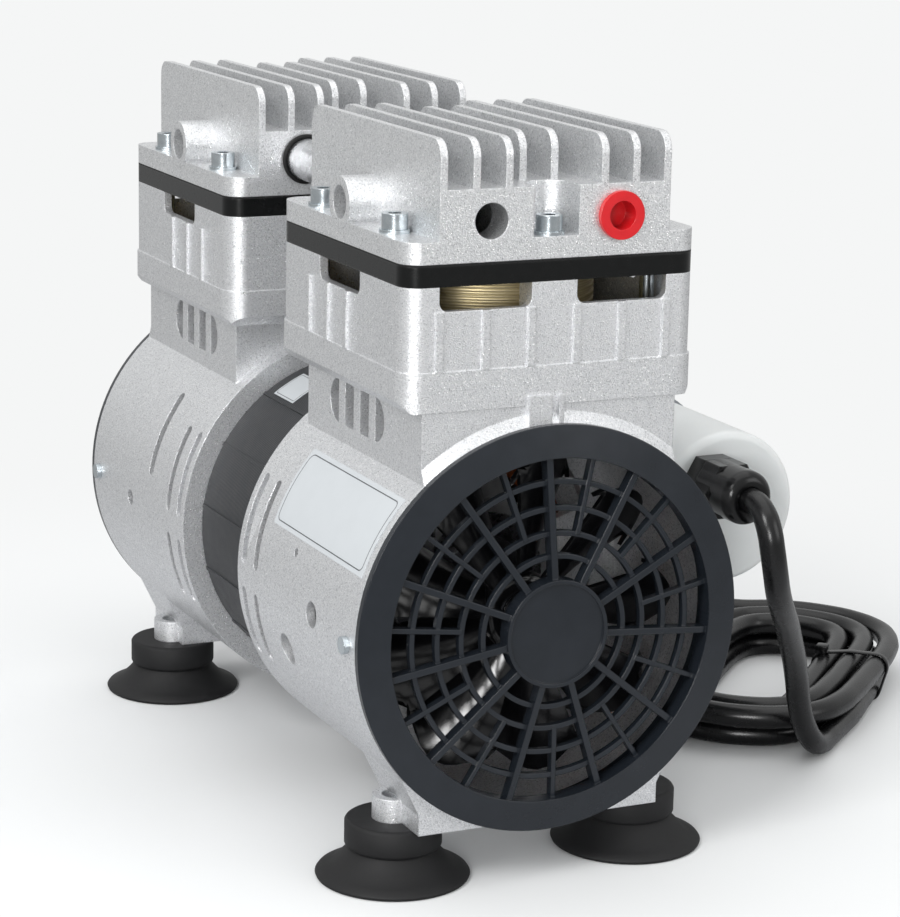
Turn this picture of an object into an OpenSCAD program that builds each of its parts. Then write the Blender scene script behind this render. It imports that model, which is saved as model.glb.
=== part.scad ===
// Oil-free twin-cylinder vacuum pump on four suction feet.
// Millimetres, +Z up. The front of the pump faces -Y and the shaft runs along Y.
// Places along the shaft are distances outward from its middle. Both ends of the pump
// come from the same modules, and the front one is mirrored.

/* [Crankcases] */
// Outer radius of the round part of a crankcase
case_r = 68; // [66:0.5:72]
// Wall of the round part
case_wall = 3.2; // [2.6:0.1:3.6]
// Inner end of a crankcase, from the middle
case_in = 28; // [24:1:31]
// Outer face of a crankcase, from the middle
case_out = 131.5; // [131:0.5:136]
// Height of the round part above the floor
case_clear = 18.2; // [17:0.2:22]
// Width of the neck that carries the cylinder
neck_w = 90; // [84:1:94]
// Inner end of the neck, from the middle
neck_in = 35; // [33:0.5:40]
// Wall of the neck
neck_wall = 4; // [3:0.5:5]

/* [Cylinder blocks] */
// Middle of each cylinder, from the middle of the pump
cyl_y = 77.1; // [76.6:0.1:77.6]
// Length of the block, the valve plate and the head along the shaft
block_len = 104.6; // [103:0.2:105]
// Height of the cylinder seat above the round part
seat_rise = 11.8; // [10:0.2:14]
// Height of the block above the cylinder seat
block_h = 33.8; // [33:0.2:38]
// Wall of the block
block_wall = 3; // [2.4:0.1:3.1]
// Radius of the upright corners
corner_r = 7; // [5:0.5:9]
// Bore radius of a cylinder
bore_r = 32; // [31:0.2:33]
// Wall of a cylinder
cyl_wall = 4.6; // [4:0.2:5]

/* [Heads] */
// Thickness of the valve plate
plate_t = 6.7; // [5:0.1:9]
// Thickness of the head gasket
gasket_t = 0.5; // [0.3:0.1:1]
// Thickness of the base of the head
base_t = 7; // [6:0.5:9]
// Width of the box of the head
box_w = 80.8; // [79:0.2:82]
// Width of the ledge on each side of the box
ledge_w = 11.3; // [11:0.1:13]
// Height of the box above the base
box_h = 16; // [15:0.5:20]
// Height of the fins above the box
fin_h = 15.6; // [8:0.2:24]
// Thickness of a fin
fin_t = 2.5; // [1.6:0.1:3.5]
// Number of fins on a head
fin_count = 8; // [8:2:10]
// Tapping radius of the front ports
port_r = 5.75; // [4.5:0.05:6]
// Tapping radius of the side ports
side_port_r = 5.5; // [4.5:0.05:6]
// Distance of each front port from the middle of the head
port_x = 22.6; // [21.6:0.2:23.6]
// Height of the port centres above the base of the head
port_h = 5.8; // [5.4:0.1:6.4]

/* [Drive] */
// Throw of each eccentric
throw = 5; // [4:0.5:5]
// Radius of the shaft in its bearings
shaft_r = 7.5; // [7:0.1:8]
// How far the stator lies inside the outer radius of a crankcase
stator_set = 7.5; // [6:0.5:9]
// Half the length of the stator
stator_half = 34; // [33:0.5:34.5]
// Radius of the rotor as a share of the radius of the stator
rotor_share = 0.595; // [0.565:0.005:0.605]
// Air gap between the rotor and the stator
air_gap = 0.5; // [0.4:0.1:1]
// Number of blades on a fan
blade_count = 9; // [5:1:11]
// How far a fan lies inside the outer radius of a crankcase
fan_set = 11; // [10:1:18]

/* [Fan covers] */
// Thickness of a cover outside the crankcase
rim_t = 4.2; // [3.8:0.2:6]
// Width of the plain ring round the grille
grille_ring = 10.6; // [9:0.2:13]
// Radius of the hub disc
hub_r = 18; // [14:0.5:22]
// Number of long spokes
spoke_count = 11; // [7:1:13]

/* [Feet] */
// Distance of the feet from the shaft line
foot_x = 43.6; // [42:0.2:45]
// Distance of the feet from the middle of the pump
foot_y = 108.7; // [107:0.1:110]
// Radius of a foot on the floor
foot_r = 25.75; // [22:0.25:28]
// Radius of the neck of a foot
foot_neck_r = 16.2; // [13:0.2:18]
// Height of a foot
foot_h = 20; // [19:0.5:20.5]

/* [Capacitor and mains lead] */
// Outer radius of the capacitor cover
can_r = 27.3; // [26.5:0.1:27.8]
// Length of the capacitor cover
can_len = 110; // [100:1:120]
// Front end of the capacitor cover, from the middle
can_front = 75; // [72:0.5:78]
// Room between the capacitor cover and the crankcases, seen from the front
can_gap = 3.2; // [2.7:0.1:5.7]
// Height of the capacitor above the shaft line
can_h = 18.1; // [16:0.1:20]
// Radius of the mains lead
cord_r = 4.4; // [3.5:0.1:4.6]

/* [Hidden] */
whole_turn = 360;
$fn = 64;

// Clearances
fit_gap = 0.02;      // between parts fixed to each other
run_gap = 0.05;      // between a turning part and its seat
slip_gap = 0.2;      // between loosely nested parts
side_clear = 0.3;    // between a piston cup and the bore at the end of its side travel
over = 1;            // overrun of every cut

// Heights above the floor
shaft_z = case_clear + case_r;
seat_z = shaft_z + case_r + seat_rise;
plate_z = seat_z + block_h;
gasket_z = plate_z + plate_t;
head_z = gasket_z + gasket_t;
base_top = head_z + base_t;
box_top = base_top + box_h;
fin_top = box_top + fin_h;
port_z = base_top + port_h;

// Crankcase
inner_r = case_r - case_wall;
stator_r = case_r - stator_set;
rotor_r = stator_r * rotor_share;
fan_r = case_r - fan_set;
grille_r = case_r - grille_ring;
can_x = case_r + can_r + can_gap;
block_w = box_w + 2 * ledge_w;
stop_t = 5;                            // ring that the stator sits against
stop_out = stator_half + stop_t;
stop_lip = 9;                          // how far that ring covers the stator
stop_r = stator_r - stop_lip;
neck_set = 2.5;                        // how far the neck lies behind the outer face
neck_out = case_out - neck_set;
neck_foot_set = 13;                    // its lowest part, below where its sides meet the round part
neck_foot_h = sqrt(case_r * case_r - neck_w * neck_w / 4) - neck_foot_set;
neck_cove = 3.5;
gusset_spans = [[-8.8, -0.7], [1.7, 3.5]];
deck_under = 7.5;                      // from the cylinder seat down to the hollow of the neck
cover_len = 11;                        // length of the spigot of a fan cover
bulk_in = 50;                          // bearing wall, from the middle
bulk_t = 5;
bulk_hub_in = 48;
bulk_hub_len = 13;
bulk_hub_wall = 4.5;
vent_r1 = 29;
vent_set = 8.8;
vent_r2 = inner_r - vent_set;
vent_count = 6;
vent_share = 0.68;                     // opening in each stretch of the bearing wall
band_proud = 0.6;
band_above = 7;                        // band of the block above the cylinder seat
band_below = 2.5;
band_bevel = 3.5;
deck_vent_r = 6;
deck_vent_x = 33;
deck_vent_y = 36;

// Windows and ribs of the block
window_x1 = 8;
window_x2 = 40;
window_h = 7.8;
window_corner = 3;
side_window_half = 16.8;
rib_w = 2.6;
rib_proud = 1;
front_rib_places = [window_x1, (window_x1 + window_x2) / 2, window_x2];
side_rib_step = 15.8;
side_rib_shift = -9.3;                 // middle rib of the side face, from the middle of the cylinder

// Slots in the side of the neck
neck_slot_w = 7.4;
neck_slot_h = 15.2;
neck_slot_step = 12.6;
neck_slot_count = 4;
neck_slot_low = 7.5;                   // top of the slots, below the cylinder seat

// Slots in the round wall
slot_w = 4;
slot_step = 11;
slot_in = 5.5;                         // first slot, from the inner end of the crankcase
slot_high_a = [4.5, 28.5];
slot_low_a = [-24, -6];
rear_slot_w = 4.5;
rear_slot_set = 10.6;                  // rear slot, inward from the middle of the cylinder
rear_slot_a = [11.6, 36];
// Round holes of the left-hand wall: place outward from the middle of the cylinder and radius, as
// shares of the case radius, and their angles
front_hole_shares = [[0.265, 0.065], [-0.118, 0.081], [-0.015, 0.022]];
front_hole_turns = [1.4, -15, 15];
rear_hole_shares = [[0.15, 0.044]];
rear_hole_turns = [-1.6];

// Foot brackets of the crankcase
lug_r = 7.2;
lug_h = 8;
base_plate_t = 7;
base_in = 97;
base_drop = 42;                        // where the foot bracket leaves the round wall, below the shaft
base_set = 16;
base_spread = case_r - base_set;

// Cylinders
cyl_r = bore_r + cyl_wall;
groove_count = 9;
groove_w = 1.1;
groove_t = 0.5;
groove_top = 3.5;
groove_step = 2.6;
seal_r = 0.8;                          // section radius of the seals on the cylinders
seal_room = 0.1;

// Head screws
screw_r = 2.5;
screw_head_r = 4.25;
screw_head_h = 5;
screw_hex_r = 2.3;
screw_hex_h = 2.6;
screw_in = 6.2;                        // outer rows, from the edge of the head
screw_mid_in = 5.2;                    // middle screws, from the ends of the head
screw_row = 29.5;
screw_bite = 6;                        // thread in the crankcase below the cylinder seat
screw_hole_r = 2.75;
washer_r = 5;
washer_t = 1.2;
head_screw_places = [
  for (sx = [-1, 1]) for (sy = [-1, 1]) [sx * (block_w / 2 - screw_in), cyl_y + sy * screw_row],
  for (sy = [-1, 1]) [0, cyl_y + sy * (block_len / 2 - screw_mid_in)]
];

// Heads
head_in = cyl_y - block_len / 2;
head_out = cyl_y + block_len / 2;
head_wall = 4;
head_mid_wall = 3;                     // half of the wall between the two chambers
recess_half = 8;
recess_len = 13.5;
recess_wall = 3;
fin_corner = 6;
port_len = 12;
port_wall = 3.4;
side_boss_r = 8.5;
side_boss_out = 0.3;                   // how far the side boss passes the base
side_boss_in = 6;
tube_seat = 8;

// Crossover tubes
tube_r = 7.5;
tube_bore_r = 5.5;
tube_seal_r = 0.7;

// Valves
valve_x = 14;
valve_step = 5;                        // valve holes, from the middle of the cylinder
valve_hole_r = 3.5;
reed_w = 12;
reed_t = 0.4;
reed_root = 14;
reed_tip = 12;
clamp_gap = 0.1;
clamp_len = 6;
clamp_t = 1.2;
stop_rise = 2.6;                       // room under the stop of an exhaust reed
stop_bar_t = 1;
stop_bar_len = 24;
reed_screw_r = 1.25;
reed_screw_head_r = 2.2;
reed_screw_head_h = 0.9;
reed_screw_deep = 4;

// Shaft and bearings
shaft_core_r = 9;
shaft_end_r = 6;
bearing_r = 17.5;
bearing_in = 49;
bearing_len = 11;
bearing_race = 3.2;
bearing_dish = 1;
rotor_ring_set = 3;
rotor_ring_r = rotor_r - rotor_ring_set;
rotor_ring_wide = 11;
rotor_ring_hole = rotor_ring_r - rotor_ring_wide;
rotor_ring_len = 6;
winding_gap = 3;                       // round the rotor
winding_set = 11;                      // inside the stator
winding_r1 = rotor_r + winding_gap;
winding_r2 = stator_r - winding_set;
winding_end = 45;
winding_bar_w = 3.6;
slot_count = 18;
stator_slot_w = 4;
stator_slot_more = 0.5;                // room past the windings
stator_slot_r = winding_r2 + stator_slot_more;
stator_bolt_r = 2.5;
stator_bolt_in = 4.7;
stator_bolt_ring = stator_r - stator_bolt_in;
stator_bolt_head_r = 4.2;
stator_bolt_head_h = 3.4;
seam_count = 16;
seam_first = 8;
seam_w = 1.4;
seam_proud = 0.5;

// Eccentrics and rods
pin_r = 14;
pin_half = 6;
ecc_in = 63.5;
weight_r = 36;
weight_t = 8;
weight_gap = 0.7;
rod_bearing_r = 22;
rod_half = 5;
rod_ring_wall = 5;
rod_beam_w = 16;
rod_beam_t = 8;
head_clear = 3;                        // above a piston at the top of its stroke
cup_plate_t = 4;
cup_t = 1;
cup_lip = 3;
disc_t = 6;
piston_inset = 2.4;                    // the metal discs inside the cup
piston_screw_r = 3;
piston_screw_head_r = 5.5;
piston_screw_head_h = 3;
piston_screw_len = 14;
cup_r = bore_r - throw - side_clear;
piston_h = plate_z - head_clear - shaft_z - throw;
ecc_hub_r = 13;

// Fans
fan_mid = 107.5;
fan_hub_r = 14;
blade_t = 2;
blade_chord = 26;
blade_pitch = 35;
fan_hub_len = 17;
shaft_step = fan_mid - fan_hub_len / 2;
shaft_past = 5.5;                      // end of the shaft past the hub of a fan
shaft_half = shaft_step + fan_hub_len + shaft_past;
clip_r = 8.5;
clip_t = 1.2;

// Fan covers
cover_front = case_out + rim_t;
cover_dome = 1.8;
cover_spigot_wall = 3;
grille_set = 2.6;                      // rings behind the front of the cover
grille_t = 3;
grille_dome = 3;                       // rise of the grille from its edge to the hub
hub_rim_w = 1.3;
hub_dish = 0.8;
rib_step = 0.3;                        // between the depths of neighbouring ribs of the grille
ring_w = 1.7;
spoke_w = 2.2;
short_w = 1.6;
spoke_phase = 92.5;
ring_shares = [0.37, 0.48, 0.6, 0.725];
short_from_share = 0.48;
cover_screw_in = 6.9;                  // radial screws, from the outer face of the crankcase
cover_screw_r = 1.5;
cover_screw_head_r = 2.9;
cover_screw_head_h = 1.8;
cover_screw_turns = [180, 0, 270];

// The whole pump is moved sideways so that the origin lies under its middle
left_reach = max(foot_x + foot_r, case_r + fit_gap + cover_screw_head_h);
shaft_x = (left_reach - can_x - can_r) / 2;

// Feet
foot_edge = 1.4;
foot_cone_h = 8;
foot_cup_r = 20;
foot_cup_h = 4;
stud_r = 4;
stud_low = 7;
stud_top = 4;                          // bare thread above the end of the stud
stud_plate_r = 11;
stud_plate_t = 2;

// Capacitor, its cover and its bracket
can_wall = 2;
can_round = 3;
capacitor_r = 24;
capacitor_len = 84;
terminal_r = 2;
terminal_h = 7;
terminal_x = 8;
can_turn = atan2(can_h, can_x);
can_reach = norm([can_x, can_h]);
strap_r = can_r + fit_gap;
strap_t = 1.5;
strap_w = 16;
bracket_t = 2;
bracket_w = 38;
bracket_half = 46;
bracket_x = can_reach - strap_r - strap_t - bracket_t / 2;
pad_r = 5.5;
pad_y = 39;
pad_z = 13;
bracket_screw_r = 2;
bracket_screw_head_r = 3.6;
bracket_screw_head_h = 2;
bracket_screw_len = 8;

// Cable gland
gland_side = 8;                        // gland toward the pump, from the axis of the capacitor
gland_up = 10.4;
gland_x = can_x - gland_side;
gland_z = shaft_z + can_h + gland_up;
gland_hex_r = 10.8;
gland_hex_len = 7;
gland_thread_r = 7;
gland_tail_len = 7;
gland_neck_len = 12;
gland_nut_len = 22;
gland_nut_hex_len = 9.8;
gland_nut_r = 9.6;
gland_round = 4;
gland_room = 0.15;                     // round the lead in the gland
gland_nut_y = can_front + gland_hex_len + slip_gap;

// Labels
label_t = 0.2;
label_in = 53;
label_len = 75;
label_span = 24;
label_below = 5.5;                     // degrees below the neck
label_top = acos(neck_w / 2 / case_r) - label_below;
label_a = [label_top - label_span, label_top];
stator_label_y = 4;
stator_label_len = 18;
stator_label_a = [54.5, 67];

// Port plug
plug_cap_r = 7.8;
plug_cap_t = 1.8;
plug_len = 9;
plug_hex_r = 4.6;
plug_hex_h = 7;

// How far the lead moves with the gland from the place for which it was laid
laid_x = 90.5;
laid_y = -75;
laid_z = 114.7;
lead_shift = [gland_x - laid_x, -can_front - laid_y];

// Mains plug, lying on the floor behind the pump with its pins toward -X
mains_plug_r = 17;
mains_plug_len = 34;
mains_plug_edge = 3;
mains_tail_r = 7;
mains_tail_len = 12;
mains_plug_laid = [122, 66];
mains_plug_x = mains_plug_laid[0] + lead_shift[0];
mains_plug_y = mains_plug_laid[1] + lead_shift[1];
pin_len = 19;
pin_radius = 2.4;
pin_space = 9.5;
pin_deep = 6;

// Free lead, as places from the shaft line, the middle of the pump and the floor
lead_route = [
  [90.5, -104, 114.7], [90.5, -108.5, 114.2], [90.5, -113.8, 111.6], [90.7, -117.3, 106.5],
  [91.6, -118.3, 100], [94, -116.8, 92], [98.3, -112.3, 83], [104.5, -105.5, 74.5], [112, -97, 66],
  [119.5, -88, 56.5], [126.5, -80, 46.5], [131.8, -74, 36.5], [135.8, -70, 26], [140.3, -67, 16],
  [146, -64, 8.6], [152.5, -59.2, 5]
];
lead_inside = [90.5, -72, 114.7];
tail_route = [[182, 84, 11], [168, 85, 5.5], [155, 79, 7], [146, 71, 12.5]];
lead_steps = 3;
lead_sides = 8;

// Hank of the lead: waisted loops wound inward in the lower layer and outward in the upper one
hank_laid = [171, 11];
hank_x = hank_laid[0] + lead_shift[0];
hank_y = hank_laid[1] + lead_shift[1];
hank_turn = 45;
hank_half = 72;
hank_waist = 40;
hank_bulge = 20;
hank_loops = 4;
hank_more = 150;                       // degrees past the last full loop
hank_first = -125;
hank_wide_gap = 1.4;                   // between loops side by side
hank_layer_gap = 0.6;                  // between the two layers
hank_pitch = 2 * cord_r + hank_wide_gap;
hank_rise = 2 * cord_r + hank_layer_gap;
hank_floor = 0.1;
hank_rings = 24;
hank_sides = 6;

// Moves everything to the origin under the middle of the pump
module placed() {
  translate([shaft_x, 0, 0]) children();
}

// One end of the pump, modelled with +Y outward
module pump_end(rear) {
  if (rear)
    placed() children();
  else
    placed() mirror([0, 1, 0]) children();
}

// Round bar along Y
module bar_y(x, z, r, y0, y1) {
  translate([x, y0, z]) rotate([-90, 0, 0]) cylinder(r = r, h = y1 - y0);
}

// Round bar along Y on the shaft line
module on_shaft(r, y0, y1) {
  bar_y(0, shaft_z, r, y0, y1);
}

// Ring along Y on the shaft line
module ring_on_shaft(r1, r2, y0, y1) {
  difference() {
    on_shaft(r2, y0, y1);
    on_shaft(r1, y0 - over, y1 + over);
  }
}

// Turned shape about the shaft line, drawn as radius and distance along Y
module turned_on_shaft() {
  translate([0, 0, shaft_z]) rotate([-90, 0, 0]) rotate_extrude() children();
}

// Rectangle with round corners
module round_plate(w, l, r) {
  square([w - 2 * r, l], center = true);
  square([w, l - 2 * r], center = true);
  for (sx = [-1, 1])
    for (sy = [-1, 1])
      translate([sx * (w / 2 - r), sy * (l / 2 - r)]) circle(r = r);
}

// Upright block with the outline of the head
module head_block(z, h, grow) {
  translate([0, cyl_y, z])
    linear_extrude(height = h)
      round_plate(block_w + 2 * grow, block_len + 2 * grow, corner_r + grow);
}

// Wedge about the shaft line between two angles above the left-hand horizontal
module left_wedge(a0, a1, y0, y1) {
  far = 2 * case_r;
  translate([0, y1, shaft_z])
    rotate([90, 0, 0])
      linear_extrude(height = y1 - y0)
        polygon([[0, 0], far * [-cos(a0), sin(a0)], far * [-cos(a1), sin(a1)]]);
}

// Slot that follows the round wall on both sides
module wall_slot(y, w, a0, a1) {
  mid_r = case_r + over;
  for (side = [0, 1])
    mirror([side, 0, 0]) {
      intersection() {
        ring_on_shaft(inner_r - over, mid_r, y - w / 2, y + w / 2);
        left_wedge(a0, a1, y - w, y + w);
      }
      for (a = [a0, a1])
        wall_hole(y, w / 2, a);
    }
}

// Radial hole in the left-hand wall
module wall_hole(y, r, a) {
  translate([0, y, shaft_z])
    rotate([0, a - 90, 0])
      translate([0, 0, inner_r - 2 * over])
        cylinder(r = r, h = case_wall + 4 * over);
}

// Bevelled underside of the band round the block
module band_bevel_block() {
  low = seat_z - band_below - band_bevel;
  x = block_w / 2 + band_proud;
  y0 = head_in - band_proud;
  y1 = head_out + band_proud;
  intersection() {
    head_block(low, band_bevel, band_proud);
    translate([0, y1, low])
      rotate([90, 0, 0])
        linear_extrude(height = y1 - y0)
          polygon([[band_bevel - x, 0], [x - band_bevel, 0], [x, band_bevel], [-x, band_bevel]]);
    translate([-x, 0, low])
      rotate([90, 0, 90])
        linear_extrude(height = 2 * x)
          polygon([[y0 + band_bevel, 0], [y1, 0], [y1, band_bevel], [y0, band_bevel]]);
  }
}

// Block round the cylinder, with its band, before it is hollowed
module block_solid() {
  head_block(seat_z - band_below, block_h + band_below, 0);
  head_block(seat_z - band_below, band_below + band_above, band_proud);
  band_bevel_block();
  rib_low = seat_z + band_above;
  rib_high = plate_z - window_h;
  for (sx = [-1, 1]) {
    for (x = front_rib_places)
      translate([sx * x - rib_w / 2, head_out - rib_w, rib_low])
        cube([rib_w, rib_w + rib_proud, rib_high - rib_low]);
    for (i = [-1, 0, 1])
      translate([sx * (block_w / 2) - (sx > 0 ? rib_w : rib_proud),
             cyl_y + side_rib_shift + i * side_rib_step - rib_w / 2, rib_low])
        cube([rib_w + rib_proud, rib_w, rib_high - rib_low]);
  }
}

// Window in a wall of the block, open at the top, drawn in the plane of the wall
module window_shape(half) {
  translate([-half, window_corner]) square([2 * half, window_h + over - window_corner]);
  translate([window_corner - half, 0]) square([2 * (half - window_corner), window_h]);
  for (side = [-1, 1])
    translate([side * (half - window_corner), window_corner]) circle(r = window_corner);
}

// Hollow of the block, its windows and its screw holes
module block_hollow() {
  translate([0, cyl_y, seat_z])
    linear_extrude(height = block_h + over) {
      difference() {
        round_plate(block_w - 2 * block_wall, block_len - 2 * block_wall, corner_r - block_wall);
        for (sy = [-1, 1])
          translate([-window_x1, sy * (block_len / 2 - block_wall) - washer_r - over])
            square([2 * window_x1, 2 * (washer_r + over)]);
      }
      circle(r = cyl_r + slip_gap);
    }
  for (sx = [-1, 1]) {
    translate([sx * (window_x1 + window_x2) / 2, head_out + 2 * over, plate_z - window_h])
      rotate([90, 0, 0])
        linear_extrude(height = block_wall + 3 * over)
          window_shape((window_x2 - window_x1) / 2);
    translate([sx * (block_w / 2 - block_wall / 2), cyl_y, plate_z - window_h])
      rotate([90, 0, 90])
        translate([0, 0, -block_wall])
          linear_extrude(height = 2 * block_wall)
            window_shape(side_window_half);
    for (sy = [-1, 1])
      translate([sx * deck_vent_x, cyl_y + sy * deck_vent_y, seat_z - deck_under - over])
        cylinder(r = deck_vent_r, h = deck_under + 2 * over);
  }
  translate([0, cyl_y, seat_z - deck_under - over])
    cylinder(r = bore_r, h = deck_under + 2 * over);
  for (place = head_screw_places)
    translate([place[0], place[1], seat_z - screw_bite])
      cylinder(r = screw_r + fit_gap, h = block_h + screw_bite + over);
}

// Neck between the round case and the block, with its cove and gussets at the front
module neck_solid() {
  translate([-neck_w / 2, neck_in, shaft_z + neck_foot_h])
    cube([neck_w, neck_out - neck_in, seat_z - band_below - shaft_z - neck_foot_h]);
  intersection() {
    turned_on_shaft()
      polygon([[inner_r, neck_out - over], [case_r + neck_cove, neck_out - over],
               [case_r + neck_cove, neck_out], [case_r, case_out], [inner_r, case_out]]);
    translate([-neck_w / 2, neck_in, shaft_z + neck_foot_h])
      cube([neck_w, case_out - neck_in, seat_z - band_below - shaft_z - neck_foot_h]);
  }
  for (span = gusset_spans)
    translate([span[0], neck_out - over, shaft_z + inner_r])
      cube([span[1] - span[0], case_out - neck_out + over, seat_z - band_below - shaft_z - inner_r]);
}

module neck_hollow() {
  translate([neck_wall - neck_w / 2, neck_in + neck_wall, shaft_z + neck_foot_h])
    cube([neck_w - 2 * neck_wall, neck_out - neck_in - 2 * neck_wall,
        seat_z - deck_under - shaft_z - neck_foot_h]);
  low = seat_z - neck_slot_low - neck_slot_h;
  mid = (neck_in + neck_out) / 2 - neck_wall - over;
  span = (neck_slot_count - 1) * neck_slot_step + neck_slot_w;
  intersection() {
    for (i = [0 : neck_slot_count - 1])
      translate([-neck_w, mid - span / 2 + i * neck_slot_step, low])
        cube([2 * neck_w, neck_slot_w, neck_slot_h]);
    translate([-neck_w, 0, 0])
      rotate([90, 0, 90])
        linear_extrude(height = 2 * neck_w) {
          translate([mid + neck_slot_h / 2 - span / 2, low])
            square([span - neck_slot_h, neck_slot_h]);
          for (side = [-1, 1])
            translate([mid + side * (span / 2 - neck_slot_h / 2), low + neck_slot_h / 2])
              circle(r = neck_slot_h / 2);
        }
  }
}

// Bracket and lugs that the feet screw into
module foot_bracket() {
  top = foot_h + base_plate_t;
  translate([0, neck_out, 0])
    rotate([90, 0, 0])
      linear_extrude(height = neck_out - base_in)
        polygon([[-foot_x, foot_h], [foot_x, foot_h], [foot_x, top], [base_spread, shaft_z - base_drop],
             [-base_spread, shaft_z - base_drop], [-foot_x, top]]);
  for (sx = [-1, 1])
    translate([sx * foot_x, foot_y, foot_h])
      cylinder(r = lug_r, h = lug_h);
}

// Wall inside the crankcase that holds a main bearing
module bearing_wall() {
  hub = bearing_r + bulk_hub_wall;
  difference() {
    union() {
      on_shaft(inner_r + case_wall / 2, bulk_in, bulk_in + bulk_t);
      on_shaft(hub, bulk_hub_in, bulk_hub_in + bulk_hub_len);
    }
    on_shaft(shaft_core_r + bearing_dish, bulk_hub_in - over, bulk_hub_in + bulk_hub_len + over);
    on_shaft(bearing_r + fit_gap, bearing_in, bulk_hub_in + bulk_hub_len + over);
    for (i = [0 : vent_count - 1])
      intersection() {
        ring_on_shaft(vent_r1, vent_r2, bulk_in - over, bulk_in + bulk_t + over);
        left_wedge(i * whole_turn / vent_count, (i + vent_share) * whole_turn / vent_count,
               bulk_in - over, bulk_in + bulk_t + over);
      }
  }
}

module crankcase(rear) {
  color([0.74, 0.75, 0.76])
    pump_end(rear) {
      difference() {
        union() {
          on_shaft(case_r, case_in, case_out);
          neck_solid();
          block_solid();
          foot_bracket();
          bracket_pads();
        }
        on_shaft(stator_r + fit_gap, case_in - over, stator_half);
        on_shaft(stop_r, stator_half - over, stop_out + over);
        on_shaft(inner_r, stop_out, case_out + over);
        neck_hollow();
        block_hollow();
        for (i = [0, 1]) {
          wall_slot(case_in + slot_in + i * slot_step, slot_w, slot_high_a[0], slot_high_a[1]);
          wall_slot(case_in + slot_in + i * slot_step, slot_w, slot_low_a[0], slot_low_a[1]);
        }
        side_holes(rear);
        stator_bolt_holes(rear);
        cover_screw_holes();
        bracket_screw_holes();
        for (sx = [-1, 1])
          translate([sx * foot_x, foot_y, foot_h - over])
            cylinder(r = stud_r + fit_gap, h = lug_h + 2 * over);
      }
      bearing_wall();
    }
}

// Openings in the round wall that differ from end to end
module side_holes(rear) {
  shares = rear ? rear_hole_shares : front_hole_shares;
  turns = rear ? rear_hole_turns : front_hole_turns;
  for (i = [0 : len(shares) - 1])
    wall_hole(cyl_y + shares[i][0] * case_r, shares[i][1] * case_r, turns[i]);
  if (rear)
    wall_slot(cyl_y - rear_slot_set, rear_slot_w, rear_slot_a[0], rear_slot_a[1]);
}

module stator_bolt_holes(rear) {
  hole = rear ? stator_bolt_r + fit_gap : stator_bolt_r + slip_gap;
  for (turn = [45 : 90 : 315])
    translate([stator_bolt_ring * cos(turn), 0, stator_bolt_ring * sin(turn)])
      on_shaft(hole, stator_half - over, stop_out + over);
}

// Radial screws of the fan covers
module at_cover_screws() {
  for (turn = cover_screw_turns)
    translate([0, case_out - cover_screw_in, shaft_z])
      rotate([0, 90 - turn, 0])
        children();
}

module cover_screw_holes() {
  at_cover_screws()
    translate([0, 0, inner_r - over])
      cylinder(r = cover_screw_r + slip_gap, h = case_wall + 2 * over);
}

// Local +X points from the shaft line to the middle of the capacitor
module toward_can() {
  translate([0, 0, shaft_z]) rotate([0, -can_turn, 0]) children();
}

// Places of the bracket screws of one crankcase, on the outside of the bracket
module at_bracket_screws() {
  toward_can()
    for (sz = [-1, 1])
      translate([bracket_x + bracket_t, pad_y, sz * pad_z])
        rotate([0, 90, 0])
          children();
}

module bracket_pads() {
  deep = bracket_x + bracket_t - sqrt(pow(case_r, 2) - pow(pad_z + pad_r, 2)) + over;
  at_bracket_screws()
    translate([0, 0, -deep]) cylinder(r = pad_r, h = deep - bracket_t);
}

module bracket_screw_holes() {
  at_bracket_screws()
    translate([0, 0, -bracket_screw_len])
      cylinder(r = bracket_screw_r + fit_gap, h = bracket_screw_len + over);
}

module front_crankcase() {
  crankcase(false);
}

module rear_crankcase() {
  crankcase(true);
}

module stator_core() {
  color([0.16, 0.16, 0.17])
    placed()
      difference() {
        union() {
          on_shaft(stator_r, -stator_half, stator_half);
          for (i = [0 : seam_count - 1])
            translate([0, 0, shaft_z])
              rotate([0, seam_first + i * whole_turn / seam_count, 0])
                translate([stator_r - seam_w, slip_gap - case_in, -seam_w / 2])
                  cube([seam_w + seam_proud, 2 * (case_in - slip_gap), seam_w]);
        }
        on_shaft(rotor_r + air_gap, -stator_half - over, stator_half + over);
        for (i = [0 : slot_count - 1])
          translate([0, 0, shaft_z])
            rotate([0, i * whole_turn / slot_count, 0])
              translate([winding_r1, -stator_half - over, -stator_slot_w / 2])
                cube([stator_slot_r - winding_r1, 2 * (stator_half + over), stator_slot_w]);
        for (turn = [45 : 90 : 315])
          translate([stator_bolt_ring * cos(turn), 0, stator_bolt_ring * sin(turn)])
            on_shaft(stator_bolt_r + slip_gap, -stator_half - over, stator_half + over);
      }
}

module stator_windings() {
  color([0.72, 0.38, 0.18])
    placed() {
      for (side = [0, 1])
        mirror([0, side, 0])
          ring_on_shaft(winding_r1 + slip_gap, winding_r2, stator_half + slip_gap, winding_end);
      for (i = [0 : slot_count - 1])
        translate([0, 0, shaft_z])
          rotate([0, i * whole_turn / slot_count, 0])
            translate([winding_r1 + 2 * slip_gap, -stator_half - over, -winding_bar_w / 2])
              cube([winding_r2 - winding_r1 - 4 * slip_gap, 2 * (stator_half + over), winding_bar_w]);
    }
}

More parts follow.
